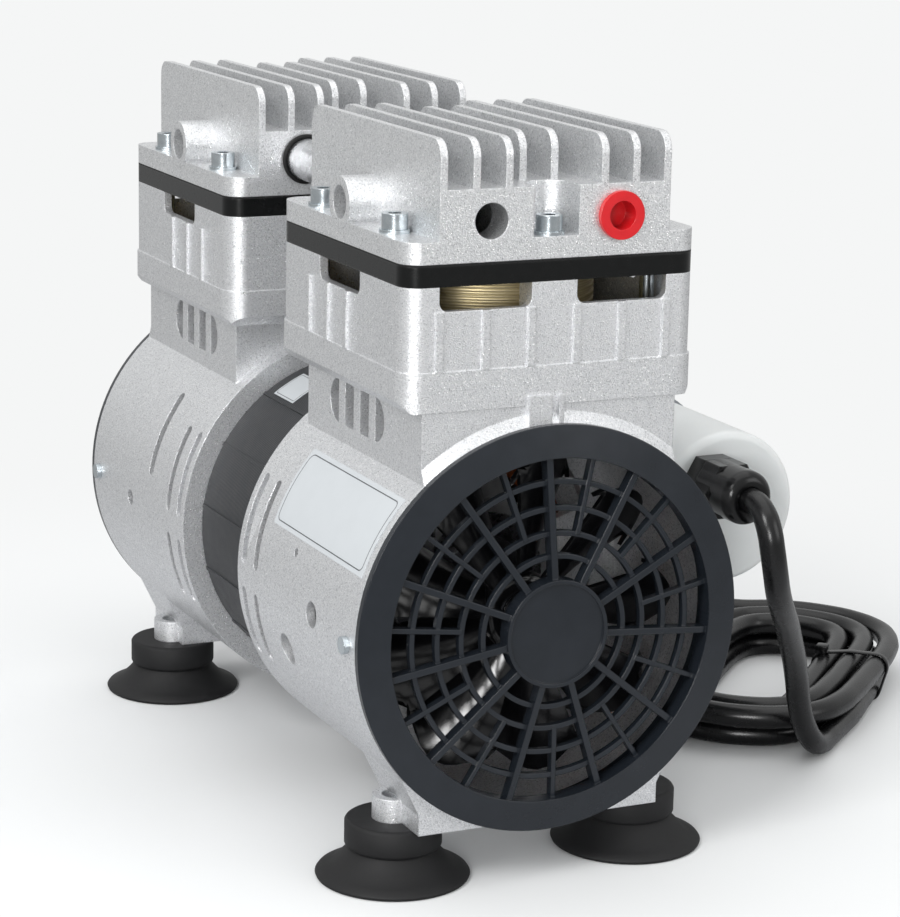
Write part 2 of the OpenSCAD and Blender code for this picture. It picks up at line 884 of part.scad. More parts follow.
// Four long bolts that draw the crankcases together over the stator
module stator_bolts() {
  color([0.7, 0.71, 0.73])
    placed()
      for (turn = [45 : 90 : 315])
        translate([stator_bolt_ring * cos(turn), 0, stator_bolt_ring * sin(turn)])
          difference() {
            union() {
              on_shaft(stator_bolt_r, -stop_out, stop_out - fit_gap);
              on_shaft(stator_bolt_head_r, -stop_out - stator_bolt_head_h, -stop_out);
            }
            translate([0, -stop_out - stator_bolt_head_h - over, shaft_z])
              rotate([-90, 0, 0])
                cylinder(r = screw_hex_r, h = stator_bolt_head_h / 2 + over, $fn = 6);
          }
}

module cylinder_sleeve(rear) {
  color([0.69, 0.6, 0.42])
    pump_end(rear)
      translate([0, cyl_y, seat_z])
        difference() {
          rotate_extrude()
            difference() {
              translate([bore_r, 0]) square([cyl_wall, block_h]);
              for (i = [0 : groove_count - 1])
                translate([cyl_r - groove_t, block_h - groove_top - i * groove_step - groove_w])
                  square([groove_t + over, groove_w]);
              translate([bore_r + cyl_wall / 2 - seal_r - seal_room, block_h - 2 * (seal_r + seal_room)])
                square([2 * (seal_r + seal_room), 2 * seal_r + over]);
            }
        }
}

module front_cylinder() {
  cylinder_sleeve(false);
}

module rear_cylinder() {
  cylinder_sleeve(true);
}

module cylinder_seals() {
  color([0.1, 0.1, 0.1])
    for (rear = [false, true])
      pump_end(rear)
        translate([0, cyl_y, plate_z - seal_r - seal_room])
          rotate_extrude()
            translate([bore_r + cyl_wall / 2, 0]) circle(r = seal_r, $fn = 24);
}

// Holes of the head screws in a plate
module head_screw_holes(z, h) {
  for (place = head_screw_places)
    translate([place[0], place[1], z - over])
      cylinder(r = screw_hole_r, h = h + 2 * over);
}

module valve_plate(rear) {
  color([0.09, 0.09, 0.1])
    pump_end(rear)
      difference() {
        head_block(plate_z, plate_t, 0);
        head_screw_holes(plate_z, plate_t);
        for (sx = [-1, 1])
          for (sy = [-1, 1])
            translate([sx * valve_x, cyl_y + sy * valve_step, plate_z - over])
              cylinder(r = valve_hole_r, h = plate_t + 2 * over);
        translate([valve_x, cyl_y + reed_root + clamp_gap + clamp_len / 2, gasket_z - reed_screw_deep])
          cylinder(r = reed_screw_r + fit_gap, h = reed_screw_deep + over);
        translate([-valve_x, cyl_y + reed_root + clamp_gap + clamp_len / 2, plate_z - over])
          cylinder(r = reed_screw_r + fit_gap, h = reed_screw_deep + over);
      }
}

module front_valve_plate() {
  valve_plate(false);
}

module rear_valve_plate() {
  valve_plate(true);
}

// Plan of one of the two chambers of a head
module chamber_plan(sx) {
  wide = box_w / 2 - head_wall - head_mid_wall;
  difference() {
    translate([sx > 0 ? head_mid_wall : -head_mid_wall - wide, head_in + head_wall])
      square([wide, block_len - 2 * head_wall]);
    for (y = [head_in + recess_len - recess_half, head_out - recess_len + recess_half])
      translate([0, y]) circle(r = recess_half + recess_wall);
  }
}

module head_gaskets() {
  color([0.13, 0.13, 0.13])
    for (rear = [false, true])
      pump_end(rear)
        difference() {
          head_block(gasket_z, gasket_t, 0);
          head_screw_holes(gasket_z, gasket_t);
          for (sx = [-1, 1])
            translate([0, 0, gasket_z - over])
              linear_extrude(height = gasket_t + 2 * over)
                chamber_plan(sx);
        }
}

// Fin with round top corners
module fin(x, y0, y1) {
  translate([x + fin_t / 2, 0, box_top - over])
    rotate([90, 0, -90])
      mirror([1, 0, 0])
        linear_extrude(height = fin_t) {
          translate([y0, 0]) square([y1 - y0, fin_h + over - fin_corner]);
          translate([y0 + fin_corner, 0]) square([y1 - y0 - 2 * fin_corner, fin_h + over]);
          for (y = [y0 + fin_corner, y1 - fin_corner])
            translate([y, fin_h + over - fin_corner]) circle(r = fin_corner);
        }
}

module fins() {
  step = (box_w - fin_t) / (fin_count - 1);
  for (i = [0 : fin_count - 1]) {
    x = (i - (fin_count - 1) / 2) * step;
    set = abs(x) < recess_half ? recess_len : 0;
    fin(x, head_in + set, head_out - set);
  }
}

// Room for a middle screw at one end of the head
module screw_recess(y, out) {
  translate([0, y - out * (recess_len - recess_half), base_top])
    cylinder(r = recess_half, h = box_h + over);
  translate([-recess_half, out > 0 ? y - recess_len + recess_half : y - over, base_top])
    cube([2 * recess_half, recess_len - recess_half + over, box_h + over]);
}

// Bored bosses inside the chambers
module chamber_bosses(rear) {
  for (sx = [-1, 1])
    bar_y(sx * port_x, port_z, tube_r + port_wall, head_in, head_in + tube_seat);
  if (!rear)
    for (sx = [-1, 1])
      bar_y(sx * port_x, port_z, port_r + port_wall, head_out - port_len, head_out);
  translate([-box_w / 2, cyl_y, port_z])
    rotate([0, 90, 0])
      cylinder(r = side_port_r + port_wall, h = side_boss_in);
}

module head(rear) {
  color([0.76, 0.77, 0.78])
    pump_end(rear)
      difference() {
        union() {
          difference() {
            union() {
              head_block(head_z, base_t, 0);
              translate([-box_w / 2, head_in, head_z])
                cube([box_w, block_len, base_t + box_h]);
              fins();
              translate([-block_w / 2 - side_boss_out, cyl_y, port_z])
                rotate([0, 90, 0])
                  cylinder(r = side_boss_r, h = (block_w - box_w) / 2 + side_boss_out + head_wall / 2);
            }
            for (sx = [-1, 1])
              translate([0, 0, head_z - over])
                linear_extrude(height = base_t + box_h - head_wall + over)
                  chamber_plan(sx);
          }
          intersection() {
            chamber_bosses(rear);
            translate([-box_w / 2, head_in, head_z])
              cube([box_w, block_len, base_t + box_h]);
          }
        }
        screw_recess(head_in, -1);
        screw_recess(head_out, 1);
        head_screw_holes(head_z, base_t);
        for (sx = [-1, 1])
          bar_y(sx * port_x, port_z, tube_r + fit_gap, head_in - over, head_in + tube_seat + over);
        if (!rear)
          for (sx = [-1, 1])
            bar_y(sx * port_x, port_z, port_r, head_out - port_len - over, head_out + over);
        translate([-block_w / 2 - side_boss_out - over, cyl_y, port_z])
          rotate([0, 90, 0])
            cylinder(r = side_port_r, h = (block_w - box_w) / 2 + side_boss_out + side_boss_in + 2 * over);
      }
}

module front_head() {
  head(false);
}

module rear_head() {
  head(true);
}

module head_screws() {
  color([0.72, 0.76, 0.8])
    for (rear = [false, true])
      pump_end(rear)
        for (place = head_screw_places)
          translate([place[0], place[1], base_top + washer_t])
            difference() {
              union() {
                cylinder(r = screw_head_r, h = screw_head_h);
                translate([0, 0, seat_z - screw_bite + slip_gap - base_top - washer_t])
                  cylinder(r = screw_r, h = base_top + washer_t + screw_bite - slip_gap - seat_z + over);
              }
              translate([0, 0, screw_head_h - screw_hex_h])
                cylinder(r = screw_hex_r, h = screw_hex_h + over, $fn = 6);
            }
}

module head_washers() {
  color([0.75, 0.78, 0.8])
    for (rear = [false, true])
      pump_end(rear)
        for (place = head_screw_places)
          translate([place[0], place[1], base_top])
            difference() {
              cylinder(r = washer_r, h = washer_t);
              translate([0, 0, -over]) cylinder(r = screw_hole_r, h = washer_t + 2 * over);
            }
}

// Tubes that join the chambers of the two heads
module crossover_tubes() {
  half = head_in + tube_seat;
  color([0.8, 0.81, 0.82])
    placed()
      for (sx = [-1, 1])
        difference() {
          bar_y(sx * port_x, port_z, tube_r, -half, half);
          bar_y(sx * port_x, port_z, tube_bore_r, -half - over, half + over);
        }
}

module crossover_seals() {
  color([0.08, 0.08, 0.08])
    for (rear = [false, true])
      pump_end(rear)
        for (sx = [-1, 1])
          translate([sx * port_x, head_in - tube_seal_r - fit_gap, port_z])
            rotate([-90, 0, 0])
              rotate_extrude()
                translate([tube_r + tube_seal_r + fit_gap, 0]) circle(r = tube_seal_r, $fn = 24);
}

module fan_cover(rear) {
  back = cover_front - grille_set - grille_t;
  color([0.17, 0.18, 0.2])
    pump_end(rear)
      difference() {
        union() {
          turned_on_shaft()
            polygon([[grille_r, case_out], [grille_r, cover_front], [case_r, cover_front - cover_dome],
                 [case_r, case_out]]);
          ring_on_shaft(inner_r - slip_gap - cover_spigot_wall, inner_r - slip_gap, case_out - cover_len,
                  case_out + over);
          turned_on_shaft()
            polygon([[grille_r, back - 2 * rib_step], [grille_r, case_out + over],
                     [inner_r - slip_gap, case_out + over], [inner_r - slip_gap, back - 2 * rib_step]]);
          turned_on_shaft()
            polygon([[0, back + grille_dome - rib_step], [hub_r, back + grille_dome - rib_step],
                     [hub_r, cover_front + grille_dome], [hub_r - hub_rim_w, cover_front + grille_dome],
                     [hub_r - hub_rim_w, cover_front + grille_dome - hub_dish],
                     [0, cover_front + grille_dome - hub_dish]]);
          for (share = ring_shares)
            ring_on_shaft(share * case_r - ring_w / 2, share * case_r + ring_w / 2,
                          back + grille_rise(share * case_r) + 2 * rib_step,
                          cover_front - grille_set + grille_rise(share * case_r));
          for (i = [0 : spoke_count - 1]) {
            spoke(spoke_phase + i * whole_turn / spoke_count, hub_r - over, spoke_w, back, grille_set / 2);
            spoke(spoke_phase + (i + 0.5) * whole_turn / spoke_count, short_from_share * case_r, short_w,
                  back + rib_step, 0);
          }
        }
        at_cover_screws()
          translate([0, 0, inner_r - cover_spigot_wall - 2 * over])
            cylinder(r = cover_screw_r + fit_gap, h = cover_spigot_wall + 4 * over);
      }
}

// How far the domed grille stands forward at this radius
function grille_rise(r) = grille_dome * (grille_r - r) / (grille_r - hub_r);

// Spoke of the grille at an angle above the right-hand horizontal
module spoke(turn, r0, w, back, proud) {
  r1 = grille_r + over;
  translate([0, 0, shaft_z])
    rotate([0, -turn, 0])
      translate([0, 0, -w / 2])
        linear_extrude(height = w)
          polygon([[r0, back + grille_rise(r0)], [r1, back + grille_rise(r1)],
                   [r1, back + grille_rise(r1) + grille_t + proud],
                   [r0, back + grille_rise(r0) + grille_t + proud]]);
}

module front_fan_cover() {
  fan_cover(false);
}

module rear_fan_cover() {
  fan_cover(true);
}

module cover_screws() {
  deep = cover_spigot_wall + slip_gap + case_wall;
  color([0.7, 0.72, 0.74])
    for (rear = [false, true])
      pump_end(rear)
        at_cover_screws()
          translate([0, 0, case_r + fit_gap]) {
            cylinder(r = cover_screw_head_r, h = cover_screw_head_h);
            translate([0, 0, -deep]) cylinder(r = cover_screw_r, h = deep + over);
          }
}

module main_bearings() {
  color([0.78, 0.79, 0.8])
    for (rear = [false, true])
      pump_end(rear)
        turned_on_shaft()
          difference() {
            translate([shaft_r + run_gap, bearing_in])
              square([bearing_r - shaft_r - run_gap, bearing_len]);
            for (y = [bearing_in - over, bearing_in + bearing_len - bearing_dish])
              translate([shaft_r + bearing_race, y])
                square([bearing_r - shaft_r - 2 * bearing_race, bearing_dish + over]);
          }
}

// Everything that stands on the four feet
module at_feet() {
  placed()
    for (sx = [-1, 1])
      for (sy = [-1, 1])
        translate([sx * foot_x, sy * foot_y, 0])
          children();
}

module rubber_feet() {
  color([0.14, 0.14, 0.15])
    at_feet()
      difference() {
        rotate_extrude()
          polygon([[0, 0], [foot_r, 0], [foot_r, foot_edge], [foot_neck_r, foot_cone_h],
               [foot_neck_r, foot_h], [0, foot_h]]);
        rotate_extrude()
          polygon([[0, -over], [foot_cup_r + over, -over], [foot_cup_r, 0], [foot_neck_r / 2, foot_cup_h],
               [0, foot_cup_h]]);
        translate([0, 0, stud_low])
          cylinder(r = stud_r + fit_gap, h = foot_h);
        translate([0, 0, stud_low])
          cylinder(r = stud_plate_r + fit_gap, h = stud_plate_t + fit_gap);
      }
}

module foot_studs() {
  color([0.7, 0.71, 0.73])
    at_feet() {
      translate([0, 0, stud_low + fit_gap]) cylinder(r = stud_plate_r, h = stud_plate_t - fit_gap);
      translate([0, 0, stud_low + fit_gap])
        cylinder(r = stud_r, h = foot_h + lug_h - stud_top - stud_low);
    }
}

// Places on the axis of the capacitor, measured backward from its front end
module at_can() {
  placed()
    translate([can_x, -can_front, shaft_z + can_h])
      rotate([-90, 0, 0])
        children();
}

module capacitor() {
  start = can_len - capacitor_len;
  color([0.85, 0.86, 0.88])
    at_can() {
      translate([0, 0, start]) cylinder(r = capacitor_r, h = capacitor_len);
      for (sx = [-1, 1])
        translate([sx * terminal_x, 0, start - terminal_h]) cylinder(r = terminal_r, h = terminal_h + over);
    }
}

module capacitor_cover() {
  color([0.93, 0.94, 0.94])
    difference() {
      at_can()
        rotate_extrude()
          difference() {
            union() {
              translate([0, can_round]) square([can_r, can_len - can_round]);
              square([can_r - can_round, can_round + over]);
              intersection() {
                translate([can_r - can_round, can_round]) circle(r = can_round);
                square([can_r, 2 * can_round]);
              }
            }
            translate([0, can_wall]) square([can_r - can_wall, can_len - 2 * can_wall]);
            translate([0, can_len - can_wall - over])
              square([capacitor_r + fit_gap, can_wall + 2 * over]);
          }
      placed()
        bar_y(gland_x, gland_z, gland_thread_r + fit_gap, -can_front - over, -can_front + can_wall + over);
    }
}

module capacitor_bracket() {
  color([0.62, 0.64, 0.66])
    placed()
      toward_can()
        difference() {
          union() {
            translate([bracket_x, -bracket_half, -bracket_w / 2])
              cube([bracket_t, 2 * bracket_half, bracket_w]);
            translate([can_reach, -strap_w / 2, 0])
              rotate([-90, 0, 0])
                cylinder(r = strap_r + strap_t, h = strap_w);
          }
          translate([can_reach, -strap_w / 2 - over, 0])
            rotate([-90, 0, 0])
              cylinder(r = strap_r, h = strap_w + 2 * over);
          for (sy = [-1, 1])
            for (sz = [-1, 1])
              translate([bracket_x - over, sy * pad_y, sz * pad_z])
                rotate([0, 90, 0])
                  cylinder(r = bracket_screw_r + slip_gap, h = bracket_t + 2 * over);
        }
}

module bracket_screws() {
  color([0.7, 0.72, 0.74])
    for (rear = [false, true])
      pump_end(rear)
        at_bracket_screws() {
          cylinder(r = bracket_screw_head_r, h = bracket_screw_head_h);
          translate([0, 0, slip_gap - bracket_screw_len])
            cylinder(r = bracket_screw_r, h = bracket_screw_len);
        }
}

module cable_gland() {
  color([0.09, 0.09, 0.09])
    placed()
      mirror([0, 1, 0])
        difference() {
          union() {
            bar_y(gland_x, gland_z, gland_thread_r, can_front - gland_tail_len,
                can_front + gland_hex_len + gland_neck_len);
            translate([gland_x, can_front, gland_z])
              rotate([-90, 0, 0])
                cylinder(r = gland_hex_r, h = gland_hex_len, $fn = 6);
          }
          bar_y(gland_x, gland_z, cord_r + gland_room, can_front - gland_tail_len - over,
              can_front + gland_hex_len + gland_neck_len + over);
        }
}

module gland_nut() {
  color([0.08, 0.08, 0.08])
    placed()
      mirror([0, 1, 0])
        difference() {
          union() {
            translate([gland_x, gland_nut_y, gland_z])
              rotate([-90, 0, 0]) {
                cylinder(r = gland_hex_r, h = gland_nut_hex_len, $fn = 6);
                rotate_extrude() {
                  square([gland_nut_r, gland_nut_len - gland_round]);
                  square([gland_nut_r - gland_round, gland_nut_len]);
                  translate([gland_nut_r - gland_round, gland_nut_len - gland_round])
                    circle(r = gland_round);
                }
              }
          }
          bar_y(gland_x, gland_z, gland_thread_r + fit_gap, gland_nut_y - over,
              gland_nut_y + gland_neck_len);
          bar_y(gland_x, gland_z, cord_r + gland_room, gland_nut_y,
              gland_nut_y + gland_nut_len + over);
        }
}

// Plain label on the round wall of the front crankcase
module rating_label() {
  color([0.93, 0.93, 0.92])
    pump_end(false)
      intersection() {
        ring_on_shaft(case_r + fit_gap, case_r + fit_gap + label_t, label_in, label_in + label_len);
        left_wedge(label_a[0], label_a[1], label_in - over, label_in + label_len + over);
      }
}

module stator_label() {
  color([0.9, 0.9, 0.9])
    placed()
      intersection() {
        ring_on_shaft(stator_r + fit_gap, stator_r + fit_gap + label_t,
                stator_label_y, stator_label_y + stator_label_len);
        left_wedge(stator_label_a[0], stator_label_a[1],
               stator_label_y - over, stator_label_y + stator_label_len + over);
      }
}

// Tongue of a reed, lying flat with its root toward the outer end of the pump
module reed_tongue() {
  linear_extrude(height = reed_t) {
    translate([-reed_w / 2, reed_w / 2 - reed_tip])
      square([reed_w, reed_root + reed_tip - reed_w / 2]);
    translate([0, reed_w / 2 - reed_tip]) circle(r = reed_w / 2);
  }
}

module intake_reed(rear) {
  color([0.6, 0.62, 0.65])
    pump_end(rear)
      translate([-valve_x, cyl_y, plate_z - reed_t]) reed_tongue();
}

module exhaust_reed(rear) {
  color([0.6, 0.62, 0.65])
    pump_end(rear)
      translate([valve_x, cyl_y, gasket_z]) reed_tongue();
}

module front_intake_reed() {
  intake_reed(false);
}

module rear_intake_reed() {
  intake_reed(true);
}

module front_exhaust_reed() {
  exhaust_reed(false);
}

module rear_exhaust_reed() {
  exhaust_reed(true);
}

// Stops over the exhaust reeds, each with the foot that holds it down
module reed_stops() {
  root = cyl_y + reed_root + clamp_gap;
  tall = stop_rise + stop_bar_t;
  color([0.66, 0.67, 0.7])
    for (rear = [false, true])
      pump_end(rear)
        difference() {
          translate([valve_x - reed_w / 2, 0, gasket_z]) {
            translate([0, root, 0]) cube([reed_w, clamp_len, tall]);
            translate([0, root - stop_bar_len, stop_rise])
              cube([reed_w, stop_bar_len + over, stop_bar_t]);
          }
          translate([valve_x, root + clamp_len / 2, gasket_z - over])
            cylinder(r = reed_screw_r + fit_gap, h = tall + 2 * over);
        }
}

// Bars beside the roots of the intake reeds
module reed_clamps() {
  root = cyl_y + reed_root + clamp_gap;
  color([0.66, 0.67, 0.7])
    for (rear = [false, true])
      pump_end(rear)
        difference() {
          translate([-valve_x - reed_w / 2, root, plate_z - clamp_t])
            cube([reed_w, clamp_len, clamp_t]);
          translate([-valve_x, root + clamp_len / 2, plate_z - clamp_t - over])
            cylinder(r = reed_screw_r + fit_gap, h = clamp_t + 2 * over);
        }
}

module reed_screws() {
  y = cyl_y + reed_root + clamp_gap + clamp_len / 2;
  tall = stop_rise + stop_bar_t;
  bite = reed_screw_deep - slip_gap;
  color([0.7, 0.72, 0.74])
    for (rear = [false, true])
      pump_end(rear) {
        translate([valve_x, y, gasket_z]) {
          translate([0, 0, tall]) cylinder(r = reed_screw_head_r, h = reed_screw_head_h);
          translate([0, 0, -bite]) cylinder(r = reed_screw_r, h = bite + tall + reed_screw_head_h / 2);
        }
        translate([-valve_x, y, plate_z]) {
          translate([0, 0, -clamp_t - reed_screw_head_h])
            cylinder(r = reed_screw_head_r, h = reed_screw_head_h);
          translate([0, 0, -clamp_t - reed_screw_head_h / 2])
            cylinder(r = reed_screw_r, h = bite + clamp_t + reed_screw_head_h / 2 - over);
        }
      }
}

module shaft() {
  color([0.7, 0.71, 0.73])
    placed() {
      on_shaft(shaft_core_r, -bulk_hub_in, bulk_hub_in);
      on_shaft(shaft_r, -shaft_step, shaft_step);
      on_shaft(shaft_end_r, -shaft_half, shaft_half);
    }
}

module rotor_core() {
  color([0.5, 0.51, 0.52])
    placed() {
      ring_on_shaft(shaft_core_r + fit_gap, rotor_r, -stator_half, stator_half);
      for (side = [0, 1])
        mirror([0, side, 0])
          ring_on_shaft(rotor_ring_hole, rotor_ring_r, stator_half - over, stator_half + rotor_ring_len);
    }
}

module fan(rear) {
  color([0.06, 0.06, 0.07])
    pump_end(rear)
      difference() {
        union() {
          on_shaft(fan_hub_r, shaft_step, shaft_step + fan_hub_len);
          intersection() {
            on_shaft(fan_r, shaft_step, shaft_step + fan_hub_len);
            for (i = [0 : blade_count - 1])
              translate([0, fan_mid, shaft_z])
                rotate([0, i * whole_turn / blade_count, 0])
                  translate([fan_hub_r - over, 0, 0])
                    rotate([blade_pitch, 0, 0])
                      translate([0, -blade_chord / 2, -blade_t / 2])
                        cube([fan_r, blade_chord, blade_t]);
          }
        }
        on_shaft(shaft_end_r + fit_gap, shaft_step - over, shaft_step + fan_hub_len + over);
      }
}

module front_fan() {
  fan(false);
}

module rear_fan() {
  fan(true);
}

module fan_clips() {
  color([0.3, 0.3, 0.32])
    for (rear = [false, true])
      pump_end(rear)
        ring_on_shaft(shaft_end_r + fit_gap, clip_r, shaft_step + fan_hub_len,
                      shaft_step + fan_hub_len + clip_t);
}

// Eccentric with its counterweight; the front one points up and the rear one down
module eccentric(rear) {
  way = rear ? -1 : 1;
  weight_in = cyl_y + pin_half + weight_gap;
  color([0.42, 0.43, 0.45])
    pump_end(rear)
      difference() {
        union() {
          on_shaft(ecc_hub_r, ecc_in, cyl_y - pin_half);
          on_shaft(ecc_hub_r, weight_in, weight_in + weight_t);
          bar_y(0, shaft_z + way * throw, pin_r, cyl_y - pin_half, weight_in);
          intersection() {
            on_shaft(weight_r, weight_in, weight_in + weight_t);
            translate([-weight_r, weight_in - over, shaft_z - (way > 0 ? weight_r + over : 0)])
              cube([2 * weight_r, weight_t + 2 * over, weight_r + over]);
          }
        }
        on_shaft(shaft_r + fit_gap, ecc_in - over, weight_in + weight_t + over);
      }
}

module front_eccentric() {
  eccentric(false);
}

module rear_eccentric() {
  eccentric(true);
}

// Places above the pin of an eccentric
module above_pin(rear) {
  pump_end(rear)
    translate([0, cyl_y, shaft_z + (rear ? -throw : throw)])
      children();
}

module rod(rear) {
  disc_low = piston_h - cup_plate_t - cup_t - disc_t;
  ring_r = rod_bearing_r + rod_ring_wall;
  color([0.78, 0.79, 0.8])
    above_pin(rear)
      difference() {
        union() {
          rotate([90, 0, 0]) cylinder(r = ring_r, h = 2 * rod_half, center = true);
          translate([-rod_beam_w / 2, -rod_beam_t / 2, rod_bearing_r])
            cube([rod_beam_w, rod_beam_t, disc_low - rod_bearing_r + over]);
          translate([0, 0, disc_low]) cylinder(r = cup_r - piston_inset, h = disc_t);
        }
        rotate([90, 0, 0]) cylinder(r = rod_bearing_r + fit_gap, h = 2 * rod_half + 2 * over, center = true);
        translate([0, 0, piston_h - piston_screw_head_h - piston_screw_len])
          cylinder(r = piston_screw_r + fit_gap, h = piston_screw_len + over);
      }
}

module front_rod() {
  rod(false);
}

module rear_rod() {
  rod(true);
}

module rod_bearing(rear) {
  color([0.72, 0.73, 0.75])
    above_pin(rear)
      rotate([90, 0, 0])
        difference() {
          cylinder(r = rod_bearing_r, h = 2 * rod_half, center = true);
          cylinder(r = pin_r + run_gap, h = 2 * rod_half + 2 * over, center = true);
        }
}

module front_rod_bearing() {
  rod_bearing(false);
}

module rear_rod_bearing() {
  rod_bearing(true);
}

module piston_cup(rear) {
  color([0.25, 0.2, 0.16])
    above_pin(rear)
      translate([0, 0, piston_h - cup_plate_t - cup_t])
        rotate_extrude() {
          translate([piston_screw_r + fit_gap, 0]) square([cup_r - piston_screw_r - fit_gap, cup_t]);
          translate([cup_r - cup_t, 0]) square([cup_t, cup_t + cup_lip]);
        }
}

module front_piston_cup() {
  piston_cup(false);
}

module rear_piston_cup() {
  piston_cup(true);
}

module cup_plate(rear) {
  color([0.8, 0.81, 0.82])
    above_pin(rear)
      translate([0, 0, piston_h - cup_plate_t])
        difference() {
          cylinder(r = cup_r - piston_inset, h = cup_plate_t);
          translate([0, 0, -over]) cylinder(r = piston_screw_r + fit_gap, h = cup_plate_t + 2 * over);
          translate([0, 0, cup_plate_t - piston_screw_head_h])
            cylinder(r = piston_screw_head_r + slip_gap, h = piston_screw_head_h + over);
        }
}

module front_cup_plate() {
  cup_plate(false);
}

module rear_cup_plate() {
  cup_plate(true);
}

module piston_screw(rear) {
  color([0.6, 0.61, 0.63])
    above_pin(rear)
      translate([0, 0, piston_h - piston_screw_head_h])
        difference() {
          union() {
            cylinder(r = piston_screw_head_r, h = piston_screw_head_h);
            translate([0, 0, slip_gap - piston_screw_len])
              cylinder(r = piston_screw_r, h = piston_screw_len);
          }
          translate([0, 0, over]) cylinder(r = screw_hex_r, h = piston_screw_head_h, $fn = 6);
        }
}

module front_piston_screw() {
  piston_screw(false);
}

module rear_piston_screw() {
  piston_screw(true);
}

// Red plug pushed into the right-hand front port
module port_plug() {
  color([0.85, 0.1, 0.14])
    pump_end(false)
      difference() {
        union() {
          bar_y(port_x, port_z, port_r - run_gap, head_out - plug_len, head_out + plug_cap_t);
          bar_y(port_x, port_z, plug_cap_r, head_out, head_out + plug_cap_t);
        }
        bar_y(port_x, port_z, plug_hex_r, head_out + plug_cap_t - plug_hex_h, head_out + plug_cap_t + over);
      }
}

// Points of a smooth line through a route
function between(p, i, t) =
  let (
    a = p[max(i - 1, 0)],
    b = p[i],
    c = p[i + 1],
    d = p[min(i + 2, len(p) - 1)]
  )
  (2 * b + (c - a) * t + (2 * a - 5 * b + 4 * c - d) * pow(t, 2) + (3 * b - a - 3 * c + d) * pow(t, 3)) / 2;

function smooth(p, steps) =
  concat([for (i = [0 : len(p) - 2]) for (k = [0 : steps - 1]) between(p, i, k / steps)], [p[len(p) - 1]]);

function unit(v) = v / norm(v);

function heading(path, i) = unit(path[min(i + 1, len(path) - 1)] - path[max(i - 1, 0)]);

function ring_round(c, t, r, sides, side_way) =
  let (
    n = unit(cross(t, side_way)),
    b = cross(t, n)
  )
  [for (j = [0 : sides - 1]) c + r * (cos(j * whole_turn / sides) * n + sin(j * whole_turn / sides) * b)];

// Tube swept along points, with flat ends square to the line
module swept_tube(path, r, sides, side_way) {
  last = len(path) - 1;
  skin = [for (i = [0 : last]) each ring_round(path[i], heading(path, i), r, sides, side_way)];
  walls = [
    for (i = [0 : last - 1])
      for (j = [0 : sides - 1])
        let (a = i * sides + j, b = i * sides + (j + 1) % sides)
          each [[a, a + sides, b + sides], [a, b + sides, b]]
  ];
  caps = [
    for (j = [1 : sides - 2])
      each [[0, j, j + 1], [last * sides, last * sides + j + 1, last * sides + j]]
  ];
  polyhedron(points = skin, faces = concat(walls, caps));
}

function ease(t) = let (u = min(max(t, 0), 1)) u * u * (3 - 2 * u);

// Outer line of the hank in its own plane, and the direction along it
function hank_line(way) = [hank_half * cos(way), sin(way) * (hank_waist + hank_bulge * pow(cos(way), 2))];

function hank_along(way) =
  unit([-hank_half * sin(way),
      cos(way) * (hank_waist + hank_bulge * (pow(cos(way), 2) - 2 * pow(sin(way), 2)))]);

// Centre of the hank after so many degrees of winding
function hank_point(u) =
  let (
    turns = u / whole_turn,
    way = hank_first + u,
    drawn = hank_pitch * (turns < hank_loops / 2 ? turns : hank_loops - turns),
    along = hank_along(way),
    p = hank_line(way) + drawn * [-along[1], along[0]]
  )
  [
    hank_x + p[0] * cos(hank_turn) - p[1] * sin(hank_turn),
    hank_y + p[0] * sin(hank_turn) + p[1] * cos(hank_turn),
    hank_floor + cord_r + hank_rise * ease(2 * (turns - hank_loops / 2) + 1 / 2)
  ];

hank_end = whole_turn * hank_loops + hank_more;
hank_path = [for (u = [0 : whole_turn / hank_rings : hank_end]) hank_point(u)];
hank_start_way = heading(hank_path, 0);
hank_end_way = heading(hank_path, len(hank_path) - 1);
hank_gap = min([
  for (i = [0 : len(hank_path) - 1])
    for (j = [i + hank_rings / 2 : 1 : len(hank_path) - 1])
      norm(hank_path[i] - hank_path[j])
]) - 2 * cord_r;
echo(hank_gap = hank_gap);

// A point of the free lead moved with the gland
function with_gland(p) = [p[0] + lead_shift[0], p[1] + lead_shift[1], p[2] * gland_z / laid_z];

lead_path = concat(
  [with_gland(lead_inside)],
  smooth(concat([for (p = lead_route) with_gland(p)],
          [hank_path[0] - 2 * cord_r * hank_start_way]), lead_steps),
  [hank_path[0]]
);
plug_entry = [mains_plug_x, mains_plug_y, mains_plug_r];
tail_path = concat(
  [hank_path[len(hank_path) - 1]],
  smooth(concat([hank_path[len(hank_path) - 1] + 2 * cord_r * hank_end_way],
          [for (p = tail_route) [p[0] + lead_shift[0], p[1] + lead_shift[1], p[2]]],
          [plug_entry + [2 * cord_r, 0, 0]]), lead_steps),
  [plug_entry]
);
function path_length(p) =
  [for (i = [1 : len(p) - 1]) 1] * [for (i = [1 : len(p) - 1]) norm(p[i] - p[i - 1])];
echo(lead_length = path_length(lead_path) + path_length(hank_path) + path_length(tail_path));

module mains_lead() {
  color([0.07, 0.07, 0.07])
    placed() {
      swept_tube(lead_path, cord_r, lead_sides, [1, 0, 0]);
      swept_tube(tail_path, cord_r, lead_sides, [0, 0, 1]);
    }
}

module cord_hank() {
  color([0.07, 0.07, 0.07])
    placed()
      swept_tube(hank_path, cord_r, hank_sides, [0, 0, 1]);
}

// Places on the axis of the mains plug, from where the lead enters
module at_mains_plug() {
  placed()
    translate(plug_entry)
      rotate([0, -90, 0])
        children();
}

